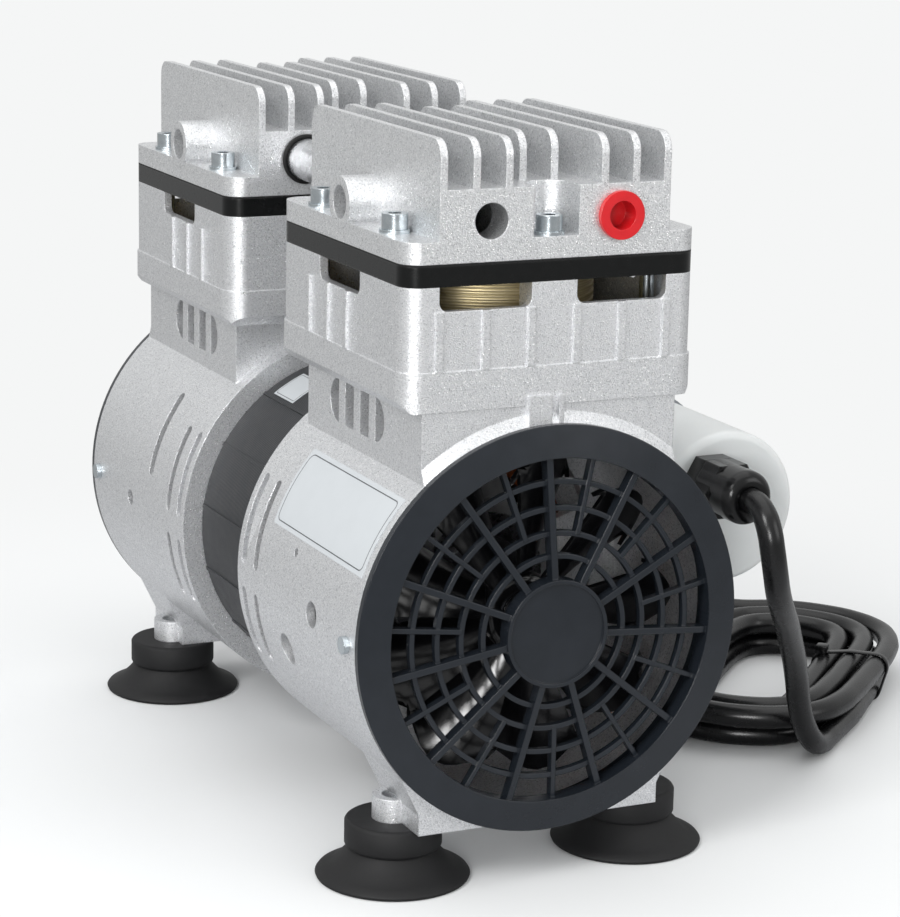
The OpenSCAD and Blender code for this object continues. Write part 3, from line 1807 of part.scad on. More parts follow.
module mains_plug() {
  long = mains_tail_len + mains_plug_len;
  color([0.07, 0.07, 0.07])
    at_mains_plug()
      difference() {
        rotate_extrude()
          polygon([[0, 0], [mains_tail_r - over, 0], [mains_tail_r, mains_tail_len],
               [mains_plug_r - mains_plug_edge, mains_tail_len + mains_plug_edge],
               [mains_plug_r, mains_tail_len + 2 * mains_plug_edge],
               [mains_plug_r, long - mains_plug_edge], [mains_plug_r - mains_plug_edge, long],
               [0, long]]);
        for (side = [-1, 1])
          translate([0, side * pin_space, long - pin_deep])
            cylinder(r = pin_radius + fit_gap, h = pin_deep + over);
      }
}

module plug_pins() {
  color([0.78, 0.68, 0.42])
    at_mains_plug()
      for (side = [-1, 1])
        translate([0, side * pin_space, mains_tail_len + mains_plug_len - pin_deep + fit_gap])
          cylinder(r = pin_radius, h = pin_deep + pin_len);
}

front_crankcase();
rear_crankcase();
stator_core();
stator_windings();
stator_bolts();
front_cylinder();
rear_cylinder();
cylinder_seals();
front_valve_plate();
rear_valve_plate();
head_gaskets();
front_head();
rear_head();
head_screws();
head_washers();
crossover_tubes();
crossover_seals();
front_fan_cover();
rear_fan_cover();
cover_screws();
main_bearings();
rubber_feet();
foot_studs();
capacitor();
capacitor_cover();
capacitor_bracket();
bracket_screws();
cable_gland();
gland_nut();
rating_label();
stator_label();
reed_stops();
reed_clamps();
reed_screws();
shaft();
rotor_core();
front_fan();
rear_fan();
fan_clips();
front_eccentric();
rear_eccentric();
front_rod();
rear_rod();
front_rod_bearing();
rear_rod_bearing();
front_piston_cup();
rear_piston_cup();
front_cup_plate();
rear_cup_plate();
front_piston_screw();
rear_piston_screw();
front_intake_reed();
rear_intake_reed();
front_exhaust_reed();
rear_exhaust_reed();
port_plug();
mains_lead();
cord_hank();
mains_plug();
plug_pins();
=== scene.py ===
# %% [markdown]
# # An oil-free twin-cylinder vacuum pump
# A small electric pump: one motor turns two fans and two pistons, and each piston works under its
# own finned head. The exact solids come from the imported model. This lesson gives them their
# finishes, and models what is soft or turned: the mains lead, the suction feet and the fans.

import math

import bpy
from mathutils import Matrix, Vector
from mathutils.geometry import convex_hull_2d


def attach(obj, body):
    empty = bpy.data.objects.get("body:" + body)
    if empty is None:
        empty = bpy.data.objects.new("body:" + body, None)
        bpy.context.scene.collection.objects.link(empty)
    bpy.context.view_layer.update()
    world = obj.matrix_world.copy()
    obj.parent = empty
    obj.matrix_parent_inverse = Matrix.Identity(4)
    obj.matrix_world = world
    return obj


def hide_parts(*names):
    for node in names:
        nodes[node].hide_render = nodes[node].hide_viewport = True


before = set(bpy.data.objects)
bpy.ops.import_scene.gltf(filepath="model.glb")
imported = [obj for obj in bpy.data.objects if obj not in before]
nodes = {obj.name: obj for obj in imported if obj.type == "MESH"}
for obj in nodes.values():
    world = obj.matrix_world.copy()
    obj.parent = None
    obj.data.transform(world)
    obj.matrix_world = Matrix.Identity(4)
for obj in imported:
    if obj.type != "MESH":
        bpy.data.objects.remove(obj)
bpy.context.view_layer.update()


# %% [markdown]
# The model is in metres, but the drawing of a pump is in millimetres, and its natural middle is
# the shaft line. So places are written as the drawing gives them: sideways from the shaft, along
# it from the middle of the pump, and up from the floor. One function turns them to the scene.

# %% Millimetres, measured from the shaft line
MM = 0.001
SHAFT_X = -27.99
SHAFT_Z = 86.2


def place(x, y, z):
    """A point of the drawing, in metres in the scene."""
    return Vector((x + SHAFT_X, y, z)) * MM


print("the shaft line is", SHAFT_Z, "mm above the floor")

# %% [markdown]
# The camera stands where the photographer stood: low, in front and to the left, about a metre
# away with a long lens. It could be aimed at an empty object, but its turn, tilt and small roll in
# radians say the same more exactly. The lens is given by its focal length in pixels of a picture
# 917 pixels high.

# %% Camera
CAMERA_AT = (-408.95, -927.6, 353.52)
CAMERA_TURN = 0.4378
CAMERA_TILT = -0.2322
CAMERA_ROLL = 0.0204
FOCAL_PIXELS = 2880
PICTURE_HIGH = 917
SENSOR_MM = 36
FARTHEST_M = 100


def camera_axes(turn, tilt, roll):
    """The right, up and backward directions of a camera."""
    ahead = Vector((math.sin(turn) * math.cos(tilt), math.cos(turn) * math.cos(tilt), math.sin(tilt)))
    level = Vector((math.cos(turn), -math.sin(turn), 0))
    upright = level.cross(ahead)
    right = math.cos(roll) * level + math.sin(roll) * upright
    up = -math.sin(roll) * level + math.cos(roll) * upright
    return right, up, -ahead


def link(name, data):
    """A new object with this data, put in the scene."""
    made = bpy.data.objects.new(name, data)
    bpy.context.scene.collection.objects.link(made)
    return made


camera_data = bpy.data.cameras.new("camera")
camera_data.sensor_fit = "VERTICAL"
camera_data.sensor_height = SENSOR_MM
camera_data.lens = FOCAL_PIXELS * SENSOR_MM / PICTURE_HIGH
camera_data.clip_end = FARTHEST_M
camera = link("camera", camera_data)
camera_turn = Matrix(camera_axes(CAMERA_TURN, CAMERA_TILT, CAMERA_ROLL)).transposed().to_4x4()
camera.matrix_world = Matrix.Translation(place(*CAMERA_AT)) @ camera_turn
bpy.context.scene.camera = camera
print("camera at", [round(v, 3) for v in camera.location],
      "with a lens of", round(camera_data.lens, 1), "mm")

# %% [markdown]
# The mains lead is a round rubber cable 8.8 mm thick. It comes out of the gland on the capacitor
# cover, droops to the floor under its own weight, lies in a hank beside the pump and ends in its
# plug behind it. A simulation could let it fall, but could hardly be steered to these places. So
# its free lengths are drawn as a few points, from inside the gland to the floor and on to the plug.

# %% The free lengths of the lead
CORD_R = 4.4
INSIDE_GLAND = (90.5, -92, 114.7)
LEAD_ROUTE = [
    (90.5, -104, 114.7), (90.5, -108.5, 114.2), (90.5, -113.8, 111.6), (90.7, -117.3, 106.5),
    (91.6, -118.3, 100), (94, -116.8, 92), (98.3, -112.3, 83), (104.5, -105.5, 74.5), (112, -97, 66),
    (119.5, -88, 56.5), (126.5, -80, 46.5), (131.8, -74, 36.5), (135.8, -70, 26), (140.3, -67, 16),
    (146, -64, 8.6), (152.5, -59.2, 5),
]
TAIL_ROUTE = [(182, 84, 11), (168, 85, 5.5), (155, 79, 7), (146, 71, 12.5)]
PLUG_ENTRY = Vector((122, 66, 17))
print("the free lengths have", len(LEAD_ROUTE) + len(TAIL_ROUTE), "points")

# %% [markdown]
# The loops of the hank follow one rule: a waisted oval, drawn in a little with each turn. Its first
# numbers are half its length, half its waist and how far its ends bulge. Half of the loops lie on
# the floor and go inwards, and the rest lie on them and come out again. The step from one layer to
# the other is eased over half a turn, as a stiff cable does it.

# %% The loops of the hank
HANK_AT = Vector((171, 11))
HANK_TURN = math.radians(45)
HANK_HALF, HANK_WAIST, HANK_BULGE = 72, 40, 20
HANK_LOOPS, HANK_FIRST, HANK_MORE = 4, -125, 150
HANK_SIDE_GAP, HANK_LAYER_GAP, HANK_FLOOR_GAP = 1.4, 0.6, 0.1
HANK_PITCH, HANK_RISE = 2 * CORD_R + HANK_SIDE_GAP, 2 * CORD_R + HANK_LAYER_GAP
CLIMB_TURNS = 0.5
HANK_STEP = 15


def hank_point(wound):
    """Centre of the cable after so many degrees of winding."""
    turns, way = wound / 360, math.radians(HANK_FIRST + wound)
    c, s = math.cos(way), math.sin(way)
    line = Vector((HANK_HALF * c, s * (HANK_WAIST + HANK_BULGE * c * c)))
    along = Vector((-HANK_HALF * s, c * (HANK_WAIST + HANK_BULGE * (c * c - 2 * s * s)))).normalized()
    drawn = HANK_PITCH * (turns if turns < HANK_LOOPS / 2 else HANK_LOOPS - turns)
    flat = line + drawn * Vector((-along.y, along.x))
    flat = HANK_AT + Matrix.Rotation(HANK_TURN, 2) @ flat
    climb = min(max((turns - HANK_LOOPS / 2) / CLIMB_TURNS + 0.5, 0), 1)
    eased = climb * climb * (3 - 2 * climb)
    return Vector((flat.x, flat.y, HANK_FLOOR_GAP + CORD_R + HANK_RISE * eased))


hank = [hank_point(wound) for wound in range(0, 360 * HANK_LOOPS + HANK_MORE + 1, HANK_STEP)]
print("the hank follows", len(hank), "points")

# %% [markdown]
# The whole line is the free lengths and the hank, end to end. One more point before and after the
# hank, and before the plug, carries on straight, so that the line enters and leaves without a kink.

# %% The line of the lead
STRAIGHT = 2 * CORD_R
start_way = (hank[1] - hank[0]).normalized()
end_way = (hank[-1] - hank[-2]).normalized()
lead_line = [Vector(INSIDE_GLAND)] + [Vector(p) for p in LEAD_ROUTE] + [hank[0] - STRAIGHT * start_way]
lead_line += hank + [hank[-1] + STRAIGHT * end_way] + [Vector(p) for p in TAIL_ROUTE]
lead_line += [PLUG_ENTRY + Vector((STRAIGHT, 0, 0)), PLUG_ENTRY]
print("the lead follows", len(lead_line), "points")

# %% [markdown]
# A row of cylinders would show its joints, so the lead is a curve. A Bezier curve with automatic
# handles passes smoothly through the points, and its bevel gives it the round section: a circle of
# one metre, made as small as the cable by the radius of each point. The curve also tells its length.

# %% The lead as a curve
SECTION_STEPS, LENGTH_STEPS = 5, 6
lead_data = bpy.data.curves.new("mains_cable", "CURVE")
lead_data.dimensions = "3D"
lead_data.bevel_depth = 1
lead_data.bevel_resolution = SECTION_STEPS
lead_data.resolution_u = LENGTH_STEPS
lead_data.use_fill_caps = True
spline = lead_data.splines.new("BEZIER")
spline.bezier_points.add(len(lead_line) - 1)
for knot, point in zip(spline.bezier_points, lead_line):
    knot.co = place(*point)
    knot.radius = CORD_R * MM
    knot.handle_left_type = knot.handle_right_type = "AUTO"
mains_cable = link("mains_cable", lead_data)
bpy.context.view_layer.update()

# %% [markdown]
# A nylon tie holds the hank together. It could be a plain ring, but a strap pulled tight goes
# straight from strand to strand. So its line is the convex hull of the strands' sections at one
# place of the hank, seen along the cable there.

# %% The line of the tie
TIE_AT, TIE_NEAR = 45, 2
STRAP_HALF, STRAP_T, STRAP_FLOOR_GAP = 1.3, 0.45, 0.1
SECTION_POINTS = 24
STRAP_R, STRAP_LOWEST = CORD_R + STRAP_T, STRAP_T + STRAP_FLOOR_GAP
strands = [hank_point(TIE_AT + 360 * i) for i in range(HANK_LOOPS + 1)]
run = (hank_point(TIE_AT + TIE_NEAR) - hank_point(TIE_AT - TIE_NEAR)).normalized()
inward = Vector((-run.y, run.x, 0))
origin = strands[0]
section_turns = [math.tau * i / SECTION_POINTS for i in range(SECTION_POINTS)]
edge_points = [
    ((strand - origin).dot(inward) + STRAP_R * math.cos(turn),
     max(strand.z + STRAP_R * math.sin(turn), STRAP_LOWEST))
    for strand in strands for turn in section_turns
]
strap_line = [edge_points[i] for i in convex_hull_2d(edge_points)]
print("the tie goes round", len(strands), "strands")

# %% [markdown]
# The strap is a flat curve: extruded to its width, and beveled to its thickness with soft edges.
# It is turned to a mesh, so that it can be joined to its head.

# %% The strap
STRAP_EDGE_STEPS = 2


def deselect():
    """Nothing selected, so that the next operator acts on the new piece alone."""
    bpy.ops.object.select_all(action="DESELECT")


def select(*pieces):
    """These pieces alone, with the first one active."""
    deselect()
    for piece in pieces:
        piece.select_set(True)
    bpy.context.view_layer.objects.active = pieces[0]


strap_data = bpy.data.curves.new("hank_tie", "CURVE")
strap_data.dimensions = "2D"
strap_data.fill_mode = "NONE"
strap_data.extrude, strap_data.bevel_depth = STRAP_HALF * MM, STRAP_T * MM
strap_data.bevel_resolution = STRAP_EDGE_STEPS
strap = strap_data.splines.new("POLY")
strap.points.add(len(strap_line) - 1)
strap.use_cyclic_u = True
for knot, (across, up) in zip(strap.points, strap_line):
    knot.co = (across * MM, up * MM, 0, 1)
hank_tie = link("hank_tie", strap_data)
select(hank_tie)
bpy.ops.object.convert(target="MESH")
hank_tie = bpy.context.object
print("the strap has", len(hank_tie.data.polygons), "faces")

# %% [markdown]
# A small square head locks the strap, at its top and a little to the outside. It is a cube with
# rounded edges, joined to the strap. The tie was made lying flat, so its mesh is then stood up
# across the cable.

# %% The head of the tie
HEAD_HALF, HEAD_LIFT, HEAD_ROUND, HEAD_ROUND_STEPS = 2.3, 1, 0.6, 3
HEAD_OUT_SHARE = 0.3
SOFT_EDGE = math.radians(40)

head_across, head_up = max(strap_line, key=lambda p: p[1] + HEAD_OUT_SHARE * p[0])
deselect()
bpy.ops.mesh.primitive_cube_add(
    size=2 * HEAD_HALF * MM, location=(head_across * MM, (head_up + HEAD_LIFT) * MM, 0))
lock = bpy.context.object
bpy.ops.object.transform_apply(location=True, rotation=True, scale=True)
rounding = lock.modifiers.new("rounding", "BEVEL")
rounding.width, rounding.segments = HEAD_ROUND * MM, HEAD_ROUND_STEPS
bpy.ops.object.modifier_apply(modifier=rounding.name)
select(hank_tie, lock)
bpy.ops.object.join()
tie_place = place(origin.x, origin.y, 0)
hank_tie.data.transform(Matrix((
    (inward.x, 0, run.x, tie_place.x),
    (inward.y, 0, run.y, tie_place.y),
    (0, 1, 0, 0),
    (0, 0, 0, 1),
)))
bpy.ops.object.shade_smooth_by_angle(angle=SOFT_EDGE)
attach(hank_tie, "pump_frame")
print("the tie has", len(hank_tie.data.polygons), "faces with its head")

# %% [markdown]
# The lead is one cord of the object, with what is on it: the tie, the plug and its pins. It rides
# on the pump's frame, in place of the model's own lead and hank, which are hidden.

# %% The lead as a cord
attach(mains_cable, "pump_frame")
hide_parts("mains_lead", "cord_hank")

# %% [markdown]
# Finishes are node trees. Two small functions keep them short: one turns a written colour to the
# linear values that Blender computes with, and one adds a node with its settings and its links.

# %% Colours and nodes
def colour(code):
    """A colour written as six hex digits, turned to linear values."""
    parts = [int(code[i:i + 2], 16) / 255 for i in (0, 2, 4)]
    return [v / 12.92 if v <= 0.04045 else ((v + 0.055) / 1.055) ** 2.4 for v in parts] + [1]


def add(tree, kind, settings=None, links=None):
    """A node of this kind, with its settings and input values, fed by other nodes' outputs."""
    made = tree.nodes.new(kind)
    for name, value in (settings or {}).items():
        if isinstance(name, int) or name in made.inputs:
            made.inputs[name].default_value = value
        else:
            setattr(made, name, value)
    for name, source in (links or {}).items():
        tree.links.new(source, made.inputs[name])
    return made


print("middle grey is", [round(v, 3) for v in colour("808080")])

# %% [markdown]
# Every finish starts from an empty tree and is closed by one shader and the output. The size of a
# pattern comes from its real size in millimetres. Edges look rounded by a bevel in the shading,
# which a few samples make smooth enough.

# %% A tree for a finish
EDGE_SAMPLES = 4


def new_tree(name):
    """An empty material and its node tree."""
    made = bpy.data.materials.new(name)
    made.use_nodes = True
    made.node_tree.nodes.clear()
    return made, made.node_tree


def close_tree(tree, links, settings):
    """The shader, its plain settings and what feeds it, linked to the output."""
    shader = add(tree, "ShaderNodeBsdfPrincipled", settings, links)
    add(tree, "ShaderNodeOutputMaterial", {}, {"Surface": shader.outputs[0]})


def per_metre(size_mm):
    """How many patches of this size fit in a metre, which is what a texture's scale counts."""
    return 1 / (size_mm * MM)


print("a half-millimetre flake has the scale", per_metre(0.5))

# %% [markdown]
# The castings are die-cast aluminium under a thin coat of silver lacquer. Its flakes catch the
# light one by one, which gives the grainy sparkle seen close up. Plain noise looks cloudy, so the
# flakes are Voronoi cells, each with its own colour and gloss: most are near the middle, a few are
# painted nearly white as glints and a few painted dark as shade, and a small bump tilts each one.
# They lie over the faint mottle of the casting. Real flakes are finer than they can show, so they
# are drawn about 0.4 mm wide.

# %% Silver castings
def silver_casting(name, light, dark, flake_mm):
    """A casting under silver lacquer, with flakes of this width in millimetres."""
    made, tree = new_tree(name)
    where = add(tree, "ShaderNodeTexCoord")
    mottle = add(tree, "ShaderNodeTexNoise", {"Scale": per_metre(2.4), "Detail": 3.0},
                 {"Vector": where.outputs["Object"]})
    flakes = add(tree, "ShaderNodeTexVoronoi", {"Scale": per_metre(flake_mm)},
                 {"Vector": where.outputs["Object"]})
    ground = add(tree, "ShaderNodeMix", {"data_type": "RGBA", 6: colour(dark), 7: colour(light)},
                 {0: mottle.outputs[0]})
    # Painted glints and painted shade: the brightest flakes are painted nearly white, the darkest painted
    # grey.
    glinting_flakes = add(tree, "ShaderNodeMapRange", {"From Min": 0.6, "To Min": 0.0, "To Max": 1.0},
                {"Value": flakes.outputs["Color"]})
    shaded_flakes = add(tree, "ShaderNodeMapRange", {"From Max": 0.35, "To Min": 0.6, "To Max": 0.0},
               {"Value": flakes.outputs["Color"]})
    painted_glints = add(tree, "ShaderNodeMix", {"data_type": "RGBA", 7: colour("F8F8F8")},
                 {0: glinting_flakes.outputs[0], 6: ground.outputs[2]})
    tint = add(tree, "ShaderNodeMix", {"data_type": "RGBA", 7: colour("77787A")},
               {0: shaded_flakes.outputs[0], 6: painted_glints.outputs[2]})
    gloss = add(tree, "ShaderNodeMapRange", {"To Min": 0.5, "To Max": 0.24},
                {"Value": flakes.outputs["Color"]})
    edge = add(tree, "ShaderNodeBevel", {"samples": EDGE_SAMPLES, "Radius": 0.5 * MM})
    pebble = add(tree, "ShaderNodeBump", {"Distance": 0.13 * MM, "Strength": 0.7},
                 {"Height": flakes.outputs["Distance"], "Normal": edge.outputs[0]})
    close_tree(tree, {"Base Color": tint.outputs[2], "Roughness": gloss.outputs[0],
                      "Normal": pebble.outputs[0]}, {"Metallic": 0.8})
    return made


case_silver = silver_casting("lacquered_die_casting", "E2E3E5", "D3D4D6", 0.4)
head_silver = silver_casting("shot_blasted_head_casting", "E3E4E5", "D2D3D5", 0.44)
print("made", case_silver.name, "and", head_silver.name)

# %% [markdown]
# Most other finishes are one recipe with other numbers: two close shades in soft patches, gloss
# that wanders with them, a fine grain in the surface, and edges that look rounded by a small
# radius. The sizes of patch, grain, depth of grain and edge are in millimetres.

# %% One recipe for moulded and worked surfaces
def grained(name, light, dark, patch_mm, rough, grain_mm, depth_mm, edge_mm, **surface):
    """A grained surface in two shades; what else is given goes to the shader's own sockets."""
    made, tree = new_tree(name)
    where = add(tree, "ShaderNodeTexCoord")
    patches = add(tree, "ShaderNodeTexNoise", {"Scale": per_metre(patch_mm), "Detail": 3.0},
                  {"Vector": where.outputs["Object"]})
    tint = add(tree, "ShaderNodeMix", {"data_type": "RGBA", 6: colour(dark), 7: colour(light)},
               {0: patches.outputs[0]})
    gloss = add(tree, "ShaderNodeMapRange", {"To Min": rough[0], "To Max": rough[1]},
                {"Value": patches.outputs[0]})
    grain = add(tree, "ShaderNodeTexNoise", {"Scale": per_metre(grain_mm), "Detail": 2.0},
                {"Vector": where.outputs["Object"]})
    edge = add(tree, "ShaderNodeBevel", {"samples": EDGE_SAMPLES, "Radius": edge_mm * MM})
    relief = add(tree, "ShaderNodeBump", {"Distance": depth_mm * MM, "Strength": 0.5},
                 {"Height": grain.outputs[0], "Normal": edge.outputs[0]})
    close_tree(tree, {"Base Color": tint.outputs[2], "Roughness": gloss.outputs[0],
                      "Normal": relief.outputs[0]},
               {key.replace("_", " "): value for key, value in surface.items()})
    return made


print("ready to make grained surfaces")

# %% [markdown]
# Moulded plastics have a wide faint mottle and a low grain. The fan covers are satin ABS, and the
# fans and gland glossier nylon. The capacitor cover is milky polypropylene, which lets light into
# its skin. Rubber is rough and dull, and smoother where it is the sheath of a cable.

# %% Plastics and rubber
cover_plastic = grained("satin_slate_abs", "1F2329", "161A1F", 9, (0.15, 0.25), 0.8, 0.02, 0.6,
                        Specular_IOR_Level=0.42)
fan_plastic = grained("gloss_black_nylon", "121214", "09090B", 6, (0.1, 0.25), 1.2, 0.02, 0.3)
gland_plastic = grained("black_polyamide", "0B0B0C", "050506", 5, (0.14, 0.26), 0.7, 0.02, 0.8,
                        Specular_IOR_Level=0.35)
plug_red = grained("red_polyethylene", "D01820", "B8121A", 4, (0.28, 0.4), 0.9, 0.02, 0.4,
                   Subsurface_Weight=0.1, Subsurface_Scale=0.002)
foot_rubber = grained("matt_black_rubber", "171718", "0F0F10", 7, (0.55, 0.72), 0.9, 0.06, 0.3,
                      Specular_IOR_Level=0.35)
cord_rubber = grained("black_rubber_sheath", "0D0D0E", "070708", 6, (0.22, 0.32), 1.0, 0.03, 0.3,
                      Specular_IOR_Level=0.4)
seal_rubber = grained("black_seal_rubber", "141414", "0C0C0C", 3, (0.5, 0.65), 0.5, 0.02, 0.2,
                      Specular_IOR_Level=0.3)
cup_plastic = grained("filled_brown_ptfe", "5D4E40", "45392E", 2, (0.4, 0.55), 0.5, 0.02, 0.2)
gasket_sheet = grained("fibre_gasket_sheet", "1C1C1C", "101010", 1.5, (0.7, 0.85), 0.5, 0.04, 0.2,
                       Specular_IOR_Level=0.3)
can_plastic = grained("milky_polypropylene", "E2E4E3", "D8DAD9", 12, (0.28, 0.4), 1.5, 0.03, 0.8,
                      Subsurface_Weight=0.4, Subsurface_Scale=0.01, Subsurface_Radius=(1.0, 0.9, 0.85))
print("made the plastics and rubbers")

# %% [markdown]
# Bare metals are the same recipe with the metallic value at one. They differ by how they were
# worked: zinc plating is bright and bluish, a ground shaft is smooth, sintered iron is dark and
# porous, and enamelled copper wire is wound in close coarse bundles.

# %% Metals
def bare_metal(*recipe):
    """The same recipe, for bare metal."""
    return grained(*recipe, Metallic=1.0)


zinc = bare_metal("zinc_plated_steel", "D2D8DB", "B6BFC4", 2.5, (0.15, 0.3), 0.5, 0.01, 0.25)
ground_steel = bare_metal("ground_steel", "CDCED0", "B8B9BC", 4, (0.2, 0.34), 0.5, 0.01, 0.3)
valve_steel = bare_metal("valve_strip_steel", "ADB1B6", "94989D", 3, (0.24, 0.36), 0.5, 0.005, 0.1)
sintered_iron = bare_metal("sintered_iron", "7C7E81", "5E6063", 1.5, (0.45, 0.6), 0.4, 0.04, 0.4)
rotor_iron = bare_metal("turned_rotor_iron", "9C9D9F", "828386", 3, (0.35, 0.5), 0.6, 0.02, 0.3)
plain_aluminium = bare_metal("plain_drawn_aluminium", "E0E1E3", "CCCDD0", 5, (0.2, 0.34), 0.8, 0.01, 0.3)
rod_casting = bare_metal("die_cast_rod", "D2D3D5", "B9BABC", 2, (0.4, 0.55), 0.7, 0.04, 0.5)
sheet_steel = bare_metal("plated_sheet_steel", "C0C4C8", "A2A6AB", 6, (0.25, 0.4), 0.7, 0.01, 0.25)
spring_steel = bare_metal("blued_spring_steel", "5A5B62", "3F4046", 2, (0.22, 0.36), 0.5, 0.01, 0.1)
pin_brass = bare_metal("drawn_brass", "DCC27E", "C2A55F", 3, (0.2, 0.3), 0.5, 0.01, 0.3)
winding_copper = bare_metal("enamelled_copper_wire", "9A5A34", "76391F", 1.6, (0.25, 0.45), 1.1, 0.4, 0.3)
print("made the metals")

# %% [markdown]
# Two finishes follow the way their part was made. The cylinder sleeves are turned from aluminium
# and hard-coated to a golden brown, with a groove at every step of the tool. The stator is a pack
# of thin steel sheets, dipped in lacquer, whose edges show as fine lines round the shaft. Sheets
# of half a millimetre are too fine to show, so the lines are drawn 1.1 mm apart. The lines are a
# wave texture, whose bands at a scale of one are a tenth of pi apart.

# %% Finishes with a direction
BANDS_APART = math.pi / 10


def lined(name, light, dark, axis, pitch_mm, depth_mm, rough, metallic):
    """A surface with lines across an axis, this far apart and this deep in millimetres."""
    made, tree = new_tree(name)
    where = add(tree, "ShaderNodeTexCoord")
    lines = add(tree, "ShaderNodeTexWave",
                {"wave_type": "BANDS", "bands_direction": axis, "Scale": BANDS_APART * per_metre(pitch_mm),
                 "Distortion": 0.5, "Detail": 2.0, "Detail Scale": 2.0},
                {"Vector": where.outputs["Object"]})
    stains = add(tree, "ShaderNodeTexNoise", {"Scale": per_metre(6), "Detail": 3.0},
                 {"Vector": where.outputs["Object"]})
    both = add(tree, "ShaderNodeMath", {"operation": "MULTIPLY"},
               {0: lines.outputs["Fac"], 1: stains.outputs[0]})
    tint = add(tree, "ShaderNodeMix", {"data_type": "RGBA", 6: colour(dark), 7: colour(light)},
               {0: both.outputs[0]})
    gloss = add(tree, "ShaderNodeMapRange", {"To Min": rough[0], "To Max": rough[1]},
                {"Value": stains.outputs[0]})
    edge = add(tree, "ShaderNodeBevel", {"samples": EDGE_SAMPLES, "Radius": 0.3 * MM})
    relief = add(tree, "ShaderNodeBump", {"Distance": depth_mm * MM, "Strength": 0.6},
                 {"Height": lines.outputs["Fac"], "Normal": edge.outputs[0]})
    close_tree(tree, {"Base Color": tint.outputs[2], "Roughness": gloss.outputs[0],
                      "Normal": relief.outputs[0]}, {"Metallic": metallic})
    return made


sleeve_coat = lined("hard_coated_sleeve", "E6D9B6", "BBA97C", "Z", 0.95, 0.1, (0.35, 0.5), 0.6)
stator_lacquer = lined("lacquered_laminations", "45474B", "1E1F21", "Y", 1.1, 0.15, (0.35, 0.6), 0.3)
print("made", sleeve_coat.name, "and", stator_lacquer.name)

# %% [markdown]
# The valve plates carry a thick gloss enamel, which dries with a faint orange peel. A clear coat
# over a rougher base gives its two kinds of shine.

# %% Gloss enamel
plate_paint = grained("gloss_black_enamel", "090A0A", "040505", 3, (0.2, 0.32), 1.6, 0.03, 0.8,
                      Coat_Weight=0.15, Coat_Roughness=0.1, Specular_IOR_Level=0.25)
print("made", plate_paint.name)

# %% [markdown]
# The rating plate is a pale film label, left bare here, with the thin printed frame such labels
# have. Its wall is round, so a point's angle about the shaft, times the radius, is its place round
# the wall. The frame is every point at one distance from a smaller rectangle, which also rounds
# its corners. An image could carry the frame, but a rule stays sharp at any distance. Lengths are
# in millimetres, and angles in degrees up from the level line on the left.

# %% Bare label film
CASE_R, STATOR_R = 68, 60.5
LABEL_Y, LABEL_ANGLES = (-128, -53), (19, 43)
SMALL_LABEL_Y, SMALL_LABEL_ANGLES = (4, 22), (54.5, 67)


def framed_label(name, along, angles, radius, margin, corner, line):
    """Film on a round wall, with a frame set in by the margin."""
    made, tree = new_tree(name)
    middle = (math.radians(sum(angles) / 2) * radius, sum(along) / 2, 0)
    core = (math.radians(angles[1] - angles[0]) / 2 * radius - margin - corner,
            (along[1] - along[0]) / 2 - margin - corner, 0)
    where = add(tree, "ShaderNodeTexCoord")
    split = add(tree, "ShaderNodeSeparateXYZ", {}, {0: where.outputs["Object"]})
    side = add(tree, "ShaderNodeMath", {"operation": "SUBTRACT", 0: SHAFT_X * MM}, {1: split.outputs[0]})
    rise = add(tree, "ShaderNodeMath", {"operation": "SUBTRACT", 1: SHAFT_Z * MM}, {0: split.outputs[2]})
    turn = add(tree, "ShaderNodeMath", {"operation": "ARCTAN2"}, {0: rise.outputs[0], 1: side.outputs[0]})
    wall = add(tree, "ShaderNodeMath", {"operation": "MULTIPLY", 1: radius}, {0: turn.outputs[0]})
    length = add(tree, "ShaderNodeMath", {"operation": "MULTIPLY", 1: 1 / MM}, {0: split.outputs[1]})
    flat = add(tree, "ShaderNodeCombineXYZ", {}, {0: wall.outputs[0], 1: length.outputs[0]})
    centred = add(tree, "ShaderNodeVectorMath", {"operation": "SUBTRACT", 1: middle}, {0: flat.outputs[0]})
    folded = add(tree, "ShaderNodeVectorMath", {"operation": "ABSOLUTE"}, {0: centred.outputs[0]})
    past = add(tree, "ShaderNodeVectorMath", {"operation": "SUBTRACT", 1: core}, {0: folded.outputs[0]})
    outside = add(tree, "ShaderNodeVectorMath", {"operation": "MAXIMUM", 1: (0, 0, 0)},
                  {0: past.outputs[0]})
    away = add(tree, "ShaderNodeVectorMath", {"operation": "LENGTH"}, {0: outside.outputs[0]})
    on_line = add(tree, "ShaderNodeMath", {"operation": "COMPARE", 1: corner, 2: line / 2},
                  {0: away.outputs["Value"]})
    sheen = add(tree, "ShaderNodeTexNoise", {"Scale": per_metre(7)}, {"Vector": where.outputs["Object"]})
    film = add(tree, "ShaderNodeMix", {"data_type": "RGBA", 6: colour("B7BBBE"), 7: colour("BCC0C3")},
               {0: sheen.outputs[0]})
    tint = add(tree, "ShaderNodeMix", {"data_type": "RGBA", 7: colour("4A4C50")},
               {0: on_line.outputs[0], 6: film.outputs[2]})
    gloss = add(tree, "ShaderNodeMapRange", {"To Min": 0.27, "To Max": 0.32}, {"Value": sheen.outputs[0]})
    close_tree(tree, {"Base Color": tint.outputs[2], "Roughness": gloss.outputs[0]}, {"IOR": 1.45})
    return made


label_film = framed_label("bare_label_film", LABEL_Y, LABEL_ANGLES, CASE_R, 1.8, 2.2, 0.4)
small_label = framed_label("bare_stator_label", SMALL_LABEL_Y, SMALL_LABEL_ANGLES, STATOR_R, 0.9, 0.8, 0.3)
print("made", label_film.name, "and", small_label.name)

# %% [markdown]
# Every solid of the model now gets the finish of what it is made of. The table reads like a parts
# list, with one line for each finish.

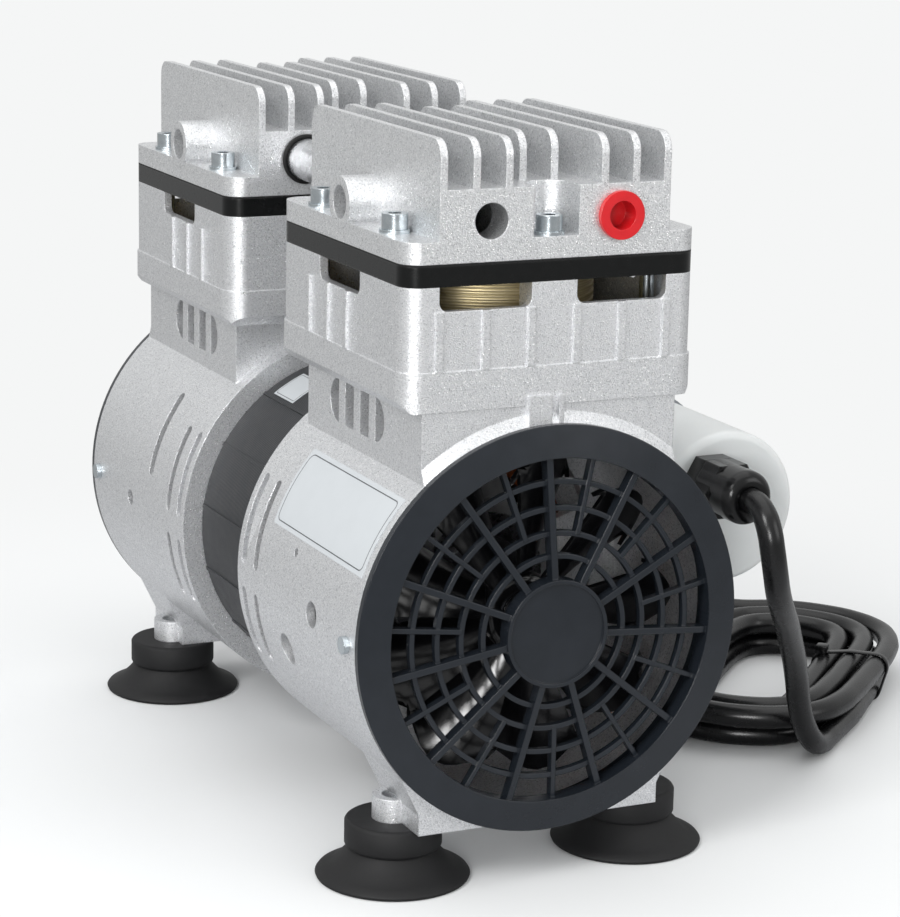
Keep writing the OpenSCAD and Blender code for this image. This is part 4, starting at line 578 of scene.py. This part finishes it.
# %% Dress the solids
PARTS_OF = [
    (case_silver, "front_crankcase rear_crankcase"),
    (head_silver, "front_head rear_head"),
    (cover_plastic, "front_fan_cover rear_fan_cover"),
    (fan_plastic, "front_fan rear_fan"),
    (gland_plastic, "cable_gland gland_nut"),
    (plug_red, "port_plug"),
    (foot_rubber, "rubber_feet"),
    (cord_rubber, "mains_lead cord_hank mains_plug"),
    (seal_rubber, "cylinder_seals crossover_seals"),
    (cup_plastic, "front_piston_cup rear_piston_cup"),
    (gasket_sheet, "head_gaskets"),
    (can_plastic, "capacitor_cover"),
    (zinc, "head_screws head_washers cover_screws foot_studs bracket_screws stator_bolts reed_screws "
           "front_piston_screw rear_piston_screw"),
    (ground_steel, "shaft main_bearings front_rod_bearing rear_rod_bearing"),
    (valve_steel, "front_intake_reed rear_intake_reed front_exhaust_reed rear_exhaust_reed "
                  "reed_stops reed_clamps"),
    (sintered_iron, "front_eccentric rear_eccentric"),
    (rotor_iron, "rotor_core"),
    (plain_aluminium, "capacitor crossover_tubes front_cup_plate rear_cup_plate"),
    (rod_casting, "front_rod rear_rod"),
    (sheet_steel, "capacitor_bracket"),
    (spring_steel, "fan_clips"),
    (pin_brass, "plug_pins"),
    (winding_copper, "stator_windings"),
    (sleeve_coat, "front_cylinder rear_cylinder"),
    (stator_lacquer, "stator_core"),
    (plate_paint, "front_valve_plate rear_valve_plate"),
    (label_film, "rating_label"),
    (small_label, "stator_label"),
]
dressed = set()
for material, names in PARTS_OF:
    for name in names.split():
        for part in nodes[name].material_slots:
            part.material = material
        dressed.add(name)
mains_cable.data.materials.append(cord_rubber)
hank_tie.data.materials.append(gland_plastic)
print("dressed", len(dressed), "of", len(nodes), "solids; left out:", sorted(set(nodes) - dressed))

# %% [markdown]
# The feet and the fans' hubs are round. Such a piece could be a profile spun about its axis. Here
# it starts as a circle, which is extruded and scaled ring by ring, as a potter raises a wall, so
# each ring can be read as one pair of numbers: its radius and its height.

# %% Raise a round piece
def raised_rings(name, profile, sides):
    """A wall raised from a circle, ring by ring; it is left in edit mode with the last ring selected."""
    deselect()
    radius, height = profile[0]
    bpy.ops.mesh.primitive_circle_add(vertices=sides, radius=radius * MM, location=(0, 0, height * MM))
    made = bpy.context.object
    made.name = made.data.name = name
    bpy.ops.object.transform_apply(location=True, rotation=True, scale=True)
    bpy.ops.object.mode_set(mode="EDIT")
    bpy.ops.mesh.select_all(action="SELECT")
    for r, z in profile[1:]:
        bpy.ops.mesh.extrude_edges_move(TRANSFORM_OT_translate={"value": (0, 0, (z - height) * MM)})
        bpy.ops.transform.resize(value=(r / radius, r / radius, 1))
        radius, height = r, z
    return made


print("ready to raise round pieces")

# %% [markdown]
# A suction foot is one turned rubber moulding: a thick neck, a waist, and a wide thin skirt that
# spreads on the floor. Its wall is raised ring by ring and closed at both ends. The foot is made
# once, and each of the four is a copy with its own mesh, so that its object stays at the origin.

# %% Suction feet
FOOT_SIDE, FOOT_ALONG = 43.6, 108.7
FOOT_SIDES, FOOT_TOP_INSET = 72, 0.5
FOOT_PLACES = [(sx * FOOT_SIDE, sy * FOOT_ALONG) for sx in (-1, 1) for sy in (-1, 1)]
FOOT_PROFILE = [
    (20.2, 0.3), (23.8, 0), (25.4, 0.25), (25.75, 1.1), (25.2, 1.9), (22.6, 3.0), (19.6, 5.0), (17.2, 7.4),
    (15.6, 9.3), (14.9, 10.2), (15.9, 10.9), (16.2, 11.6), (16.2, 18.9), (15.8, 19.6), (15.2, 20),
]


def copy_to(original, name, shift):
    """A copy with its own mesh, moved in its mesh so that the object stays at the origin."""
    data = original.data.copy()
    data.name = name
    data.transform(Matrix.Translation(shift))
    return link(name, data)


foot_pattern = raised_rings("foot_pattern", FOOT_PROFILE, FOOT_SIDES)
bpy.ops.mesh.edge_face_add()
bpy.ops.mesh.inset(thickness=FOOT_TOP_INSET * MM)
bpy.ops.mesh.select_all(action="DESELECT")
bpy.ops.mesh.select_non_manifold()
bpy.ops.mesh.edge_face_add()
bpy.ops.mesh.select_all(action="SELECT")
bpy.ops.mesh.normals_make_consistent(inside=False)
bpy.ops.object.mode_set(mode="OBJECT")
bpy.ops.object.shade_smooth_by_angle(angle=SOFT_EDGE)
feet = [copy_to(foot_pattern, f"suction_foot_{i}", place(x, y, 0))
        for i, (x, y) in enumerate(FOOT_PLACES, start=1)]
bpy.data.objects.remove(foot_pattern)
for foot in feet:
    foot.data.materials.append(foot_rubber)
    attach(foot, "pump_frame")
    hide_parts("rubber_feet")
print("made", len(feet), "suction feet")

# %% [markdown]
# Each fan is a moulded axial fan. Its blades are curved like a spoon and twisted, steep at the hub
# and flat at the tip, so that they throw the same air along their whole length. A twisted surface
# is hard to extrude. So a blade starts as a flat grid whose points are turned and cambered by their
# distance from the hub, and then gets its thickness.

# %% One blade
FAN_R, FAN_HUB_R, FAN_HUB_LEN = 57, 14, 17
BLADE_GRID = (16, 10)
BLADE_ROOT_IN, BLADE_TIP_OUT = 1.5, 1.3
ROOT_PITCH, TIP_PITCH = math.radians(50), math.radians(27)
ROOT_CHORD, TIP_CHORD, CAMBER, BLADE_T = 15.5, 33, 2.4, 1.6
ROUND_FROM_SHARE, ROUND_OFF_SHARE = 0.8, 0.25
BLADE_SOFT_EDGE = math.radians(50)


def blade_point(out, across):
    """A point of the blade: out runs from hub to tip as 0 to 1, across from edge to edge as -1 to 1."""
    r = FAN_HUB_R - BLADE_ROOT_IN + out * (FAN_R - FAN_HUB_R + BLADE_TIP_OUT)
    chord = ROOT_CHORD + (TIP_CHORD - ROOT_CHORD) * out
    pitch = ROOT_PITCH + (TIP_PITCH - ROOT_PITCH) * out
    tip_share = max(0, out - ROUND_FROM_SHARE) / (1 - ROUND_FROM_SHARE)
    tip_round = 1 - ROUND_OFF_SHARE * tip_share * across * across
    s, lift = across * chord / 2, CAMBER * (1 - across * across)
    along = s * math.sin(pitch) + lift * math.cos(pitch)
    sideways = s * math.cos(pitch) - lift * math.sin(pitch)
    reach = min(r * tip_round, math.sqrt(max(FAN_R ** 2 - sideways ** 2, 1)))
    return Vector((reach, max(-FAN_HUB_LEN / 2, min(FAN_HUB_LEN / 2, along)), sideways)) * MM


def fan_blade():
    """One blade reaching along +X from the hub, about the fan's own middle."""
    deselect()
    bpy.ops.mesh.primitive_grid_add(
        x_subdivisions=BLADE_GRID[0], y_subdivisions=BLADE_GRID[1], size=1, location=(0, 0, 0))
    made = bpy.context.object
    for v in made.data.vertices:
        v.co = blade_point(v.co.x + 0.5, 2 * v.co.y)
    thick = made.modifiers.new("thickness", "SOLIDIFY")
    thick.thickness, thick.offset = BLADE_T * MM, 0
    bpy.ops.object.modifier_apply(modifier=thick.name)
    bpy.ops.object.shade_smooth_by_angle(angle=BLADE_SOFT_EDGE)
    return made


print("a blade is", ROOT_CHORD, "mm wide at the hub and", TIP_CHORD, "mm at the tip")

# %% [markdown]
# The hub is a bored, stepped boss with a rounded rim. Its profile goes right round, from the bore
# out, along and back, so the last ring meets the first, and their doubled points are merged. It
# was raised along Z, so its mesh is laid along the shaft.

# %% The hub
FAN_BORE_R, HUB_SIDES = 6.02, 48
WELD = 0.01
HUB_SOFT_EDGE = math.radians(35)
HUB_END = FAN_HUB_LEN / 2
HUB_PROFILE = [
    (FAN_BORE_R, -HUB_END), (12.4, -HUB_END), (13.6, 1 - HUB_END), (FAN_HUB_R, 2.5 - HUB_END),
    (FAN_HUB_R, HUB_END - 2.5), (13.4, HUB_END - 0.8), (12.2, HUB_END), (10.4, HUB_END),
    (10, HUB_END - 0.8), (8.4, HUB_END - 0.8), (8, HUB_END), (FAN_BORE_R, HUB_END), (FAN_BORE_R, -HUB_END),
]


def fan_hub(name):
    """The hub about the fan's own middle, with its axis along Y."""
    made = raised_rings(name, HUB_PROFILE, HUB_SIDES)
    bpy.ops.mesh.select_all(action="SELECT")
    bpy.ops.mesh.remove_doubles(threshold=WELD * MM)
    bpy.ops.mesh.normals_make_consistent(inside=False)
    bpy.ops.object.mode_set(mode="OBJECT")
    made.data.transform(Matrix.Rotation(math.radians(-90), 4, "X"))
    bpy.ops.object.shade_smooth_by_angle(angle=HUB_SOFT_EDGE)
    return made


print("the hub has", len(HUB_PROFILE) - 1, "rings")

# %% [markdown]
# A whole fan is a hub with its blades turned round it and joined. The front fan is the mirror
# image of the rear one, because both blow toward the motor. A mirrored mesh is inside out, so its
# normals are flipped back.

# %% Two fans
FAN_MID, BLADE_COUNT = 107.5, 9


def fan(name, y, facing):
    """A whole fan at its place on the shaft."""
    pieces = [fan_hub(name)]
    for i in range(BLADE_COUNT):
        blade = fan_blade()
        blade.data.transform(Matrix.Rotation(math.tau * i / BLADE_COUNT, 4, "Y"))
        pieces.append(blade)
    select(*pieces)
    bpy.ops.object.join()
    made = bpy.context.object
    if facing < 0:
        made.data.transform(Matrix.Scale(-1, 4, (0, 1, 0)))
        made.data.flip_normals()
    made.data.transform(Matrix.Translation(place(0, y, SHAFT_Z)))
    made.data.materials.clear()
    made.data.materials.append(fan_plastic)
    return made


for end, side in (("front", -1), ("rear", 1)):
    whole_fan = fan(f"{end}_moulded_fan", side * FAN_MID, side)
    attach(whole_fan, "rotor")
    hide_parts(f"{end}_fan")
print("made two fans of", BLADE_COUNT, "blades")

# %% [markdown]
# The studio floor is a pale sweep of paper. Near the pump it takes its shadow, and farther off it
# glows like the lit background that it fades into. A curved backdrop would do the same from one
# side only. To the pump itself the floor is a middle grey, as the dark side of a studio is, so that
# undersides and ribs stand out.

# %% Floor
BACKDROP = "F5F6F6"
FLOOR_SIZE, FADE_FROM, FADE_TO = 40, 0.14, 0.5
GLOW_UNSEEN, GLOW_SEEN = 0.5, 1.0
deselect()
bpy.ops.mesh.primitive_plane_add(size=FLOOR_SIZE, location=(0, 0, 0))
floor = bpy.context.object
floor.name = "studio_floor"
floor_finish, tree = new_tree("pale_paper_sweep")
where = add(tree, "ShaderNodeTexCoord")
patches = add(tree, "ShaderNodeTexNoise", {"Scale": per_metre(400)}, {"Vector": where.outputs["Object"]})
tint = add(tree, "ShaderNodeMix", {"data_type": "RGBA", 6: colour("DBDCDD"), 7: colour("DEDFDF")},
           {0: patches.outputs[0]})
rays = add(tree, "ShaderNodeLightPath")
shade = add(tree, "ShaderNodeMix", {"data_type": "RGBA", 6: colour("BDBEC0")},
            {0: rays.outputs["Is Camera Ray"], 7: tint.outputs[2]})
paper = add(tree, "ShaderNodeBsdfDiffuse", {}, {"Color": shade.outputs[2]})
away = add(tree, "ShaderNodeVectorMath", {"operation": "LENGTH"}, {0: where.outputs["Object"]})
fade = add(tree, "ShaderNodeMapRange",
           {"interpolation_type": "SMOOTHSTEP", "From Min": FADE_FROM, "From Max": FADE_TO},
           {"Value": away.outputs["Value"]})
lit = add(tree, "ShaderNodeMapRange", {"To Min": GLOW_UNSEEN, "To Max": GLOW_SEEN},
          {"Value": rays.outputs["Is Camera Ray"]})
glow = add(tree, "ShaderNodeEmission", {"Color": colour(BACKDROP)}, {"Strength": lit.outputs[0]})
sweep = add(tree, "ShaderNodeMixShader", {}, {0: fade.outputs[0], 1: paper.outputs[0], 2: glow.outputs[0]})
add(tree, "ShaderNodeOutputMaterial", {}, {"Surface": sweep.outputs[0]})
floor.data.materials.append(floor_finish)
print("the floor fades from", FADE_FROM, "to", FADE_TO, "m")

# %% [markdown]
# The room is what the metal mirrors: pale overhead and darker toward the ground, so that upright
# faces show a soft range of greys. The camera itself sees one even pale backdrop.

# %% Room
ROOM_LOW, ROOM_HIGH = -0.1, 0.8
ROOM_DIM, ROOM_BRIGHT = 0.62, 0.95
world = bpy.data.worlds.new("studio")
bpy.context.scene.world = world
world.use_nodes = True
tree = world.node_tree
tree.nodes.clear()
rays = add(tree, "ShaderNodeLightPath")
way = add(tree, "ShaderNodeTexCoord")
height = add(tree, "ShaderNodeSeparateXYZ", {}, {0: way.outputs["Generated"]})
light_up = add(tree, "ShaderNodeMapRange",
               {"From Min": ROOM_LOW, "From Max": ROOM_HIGH, "To Min": ROOM_DIM, "To Max": ROOM_BRIGHT},
               {"Value": height.outputs[2]})
seen = add(tree, "ShaderNodeMath", {"operation": "MAXIMUM"},
           {0: rays.outputs["Is Camera Ray"], 1: rays.outputs["Is Transmission Ray"]})
pale = add(tree, "ShaderNodeBackground", {"Color": colour(BACKDROP), "Strength": 1.0})
fill = add(tree, "ShaderNodeBackground", {"Color": colour(BACKDROP)}, {"Strength": light_up.outputs[0]})
mixed = add(tree, "ShaderNodeMixShader", {}, {0: seen.outputs[0], 1: fill.outputs[0], 2: pale.outputs[0]})
add(tree, "ShaderNodeOutputWorld", {}, {0: mixed.outputs[0]})
bpy.context.scene.view_settings.view_transform = "Standard"
print("the room is lit by", world.name)

# %% [markdown]
# Large soft boxes give soft shadows. The strongest stands to the left, a weak one fills the right,
# and a wide one hangs over the pump. A small low one in front lights the insides behind the windows
# and the grille. Each line gives a lamp's place in metres, its size in metres and its watts.

# %% Lamps
LAMPS_LOOK_AT = Vector((0, 0, 0.12))
LAMPS = [
    ("key_box", (-1.7, -1.0, 1.5), 0.9, 29),
    ("fill_box", (1.5, -1.9, 1.0), 1.2, 9),
    ("top_box", (0.0, 0.0, 2.3), 2.6, 18),
    ("low_box", (-0.85, -1.35, 0.34), 0.35, 9),
]
for name, at, size, power in LAMPS:
    box_data = bpy.data.lights.new(name, "AREA")
    box_data.size, box_data.energy = size, power
    soft_box = link(name, box_data)
    soft_box.location = at
    soft_box.rotation_euler = (LAMPS_LOOK_AT - Vector(at)).to_track_quat("-Z", "Y").to_euler()
print("hung", len(LAMPS), "lamps")
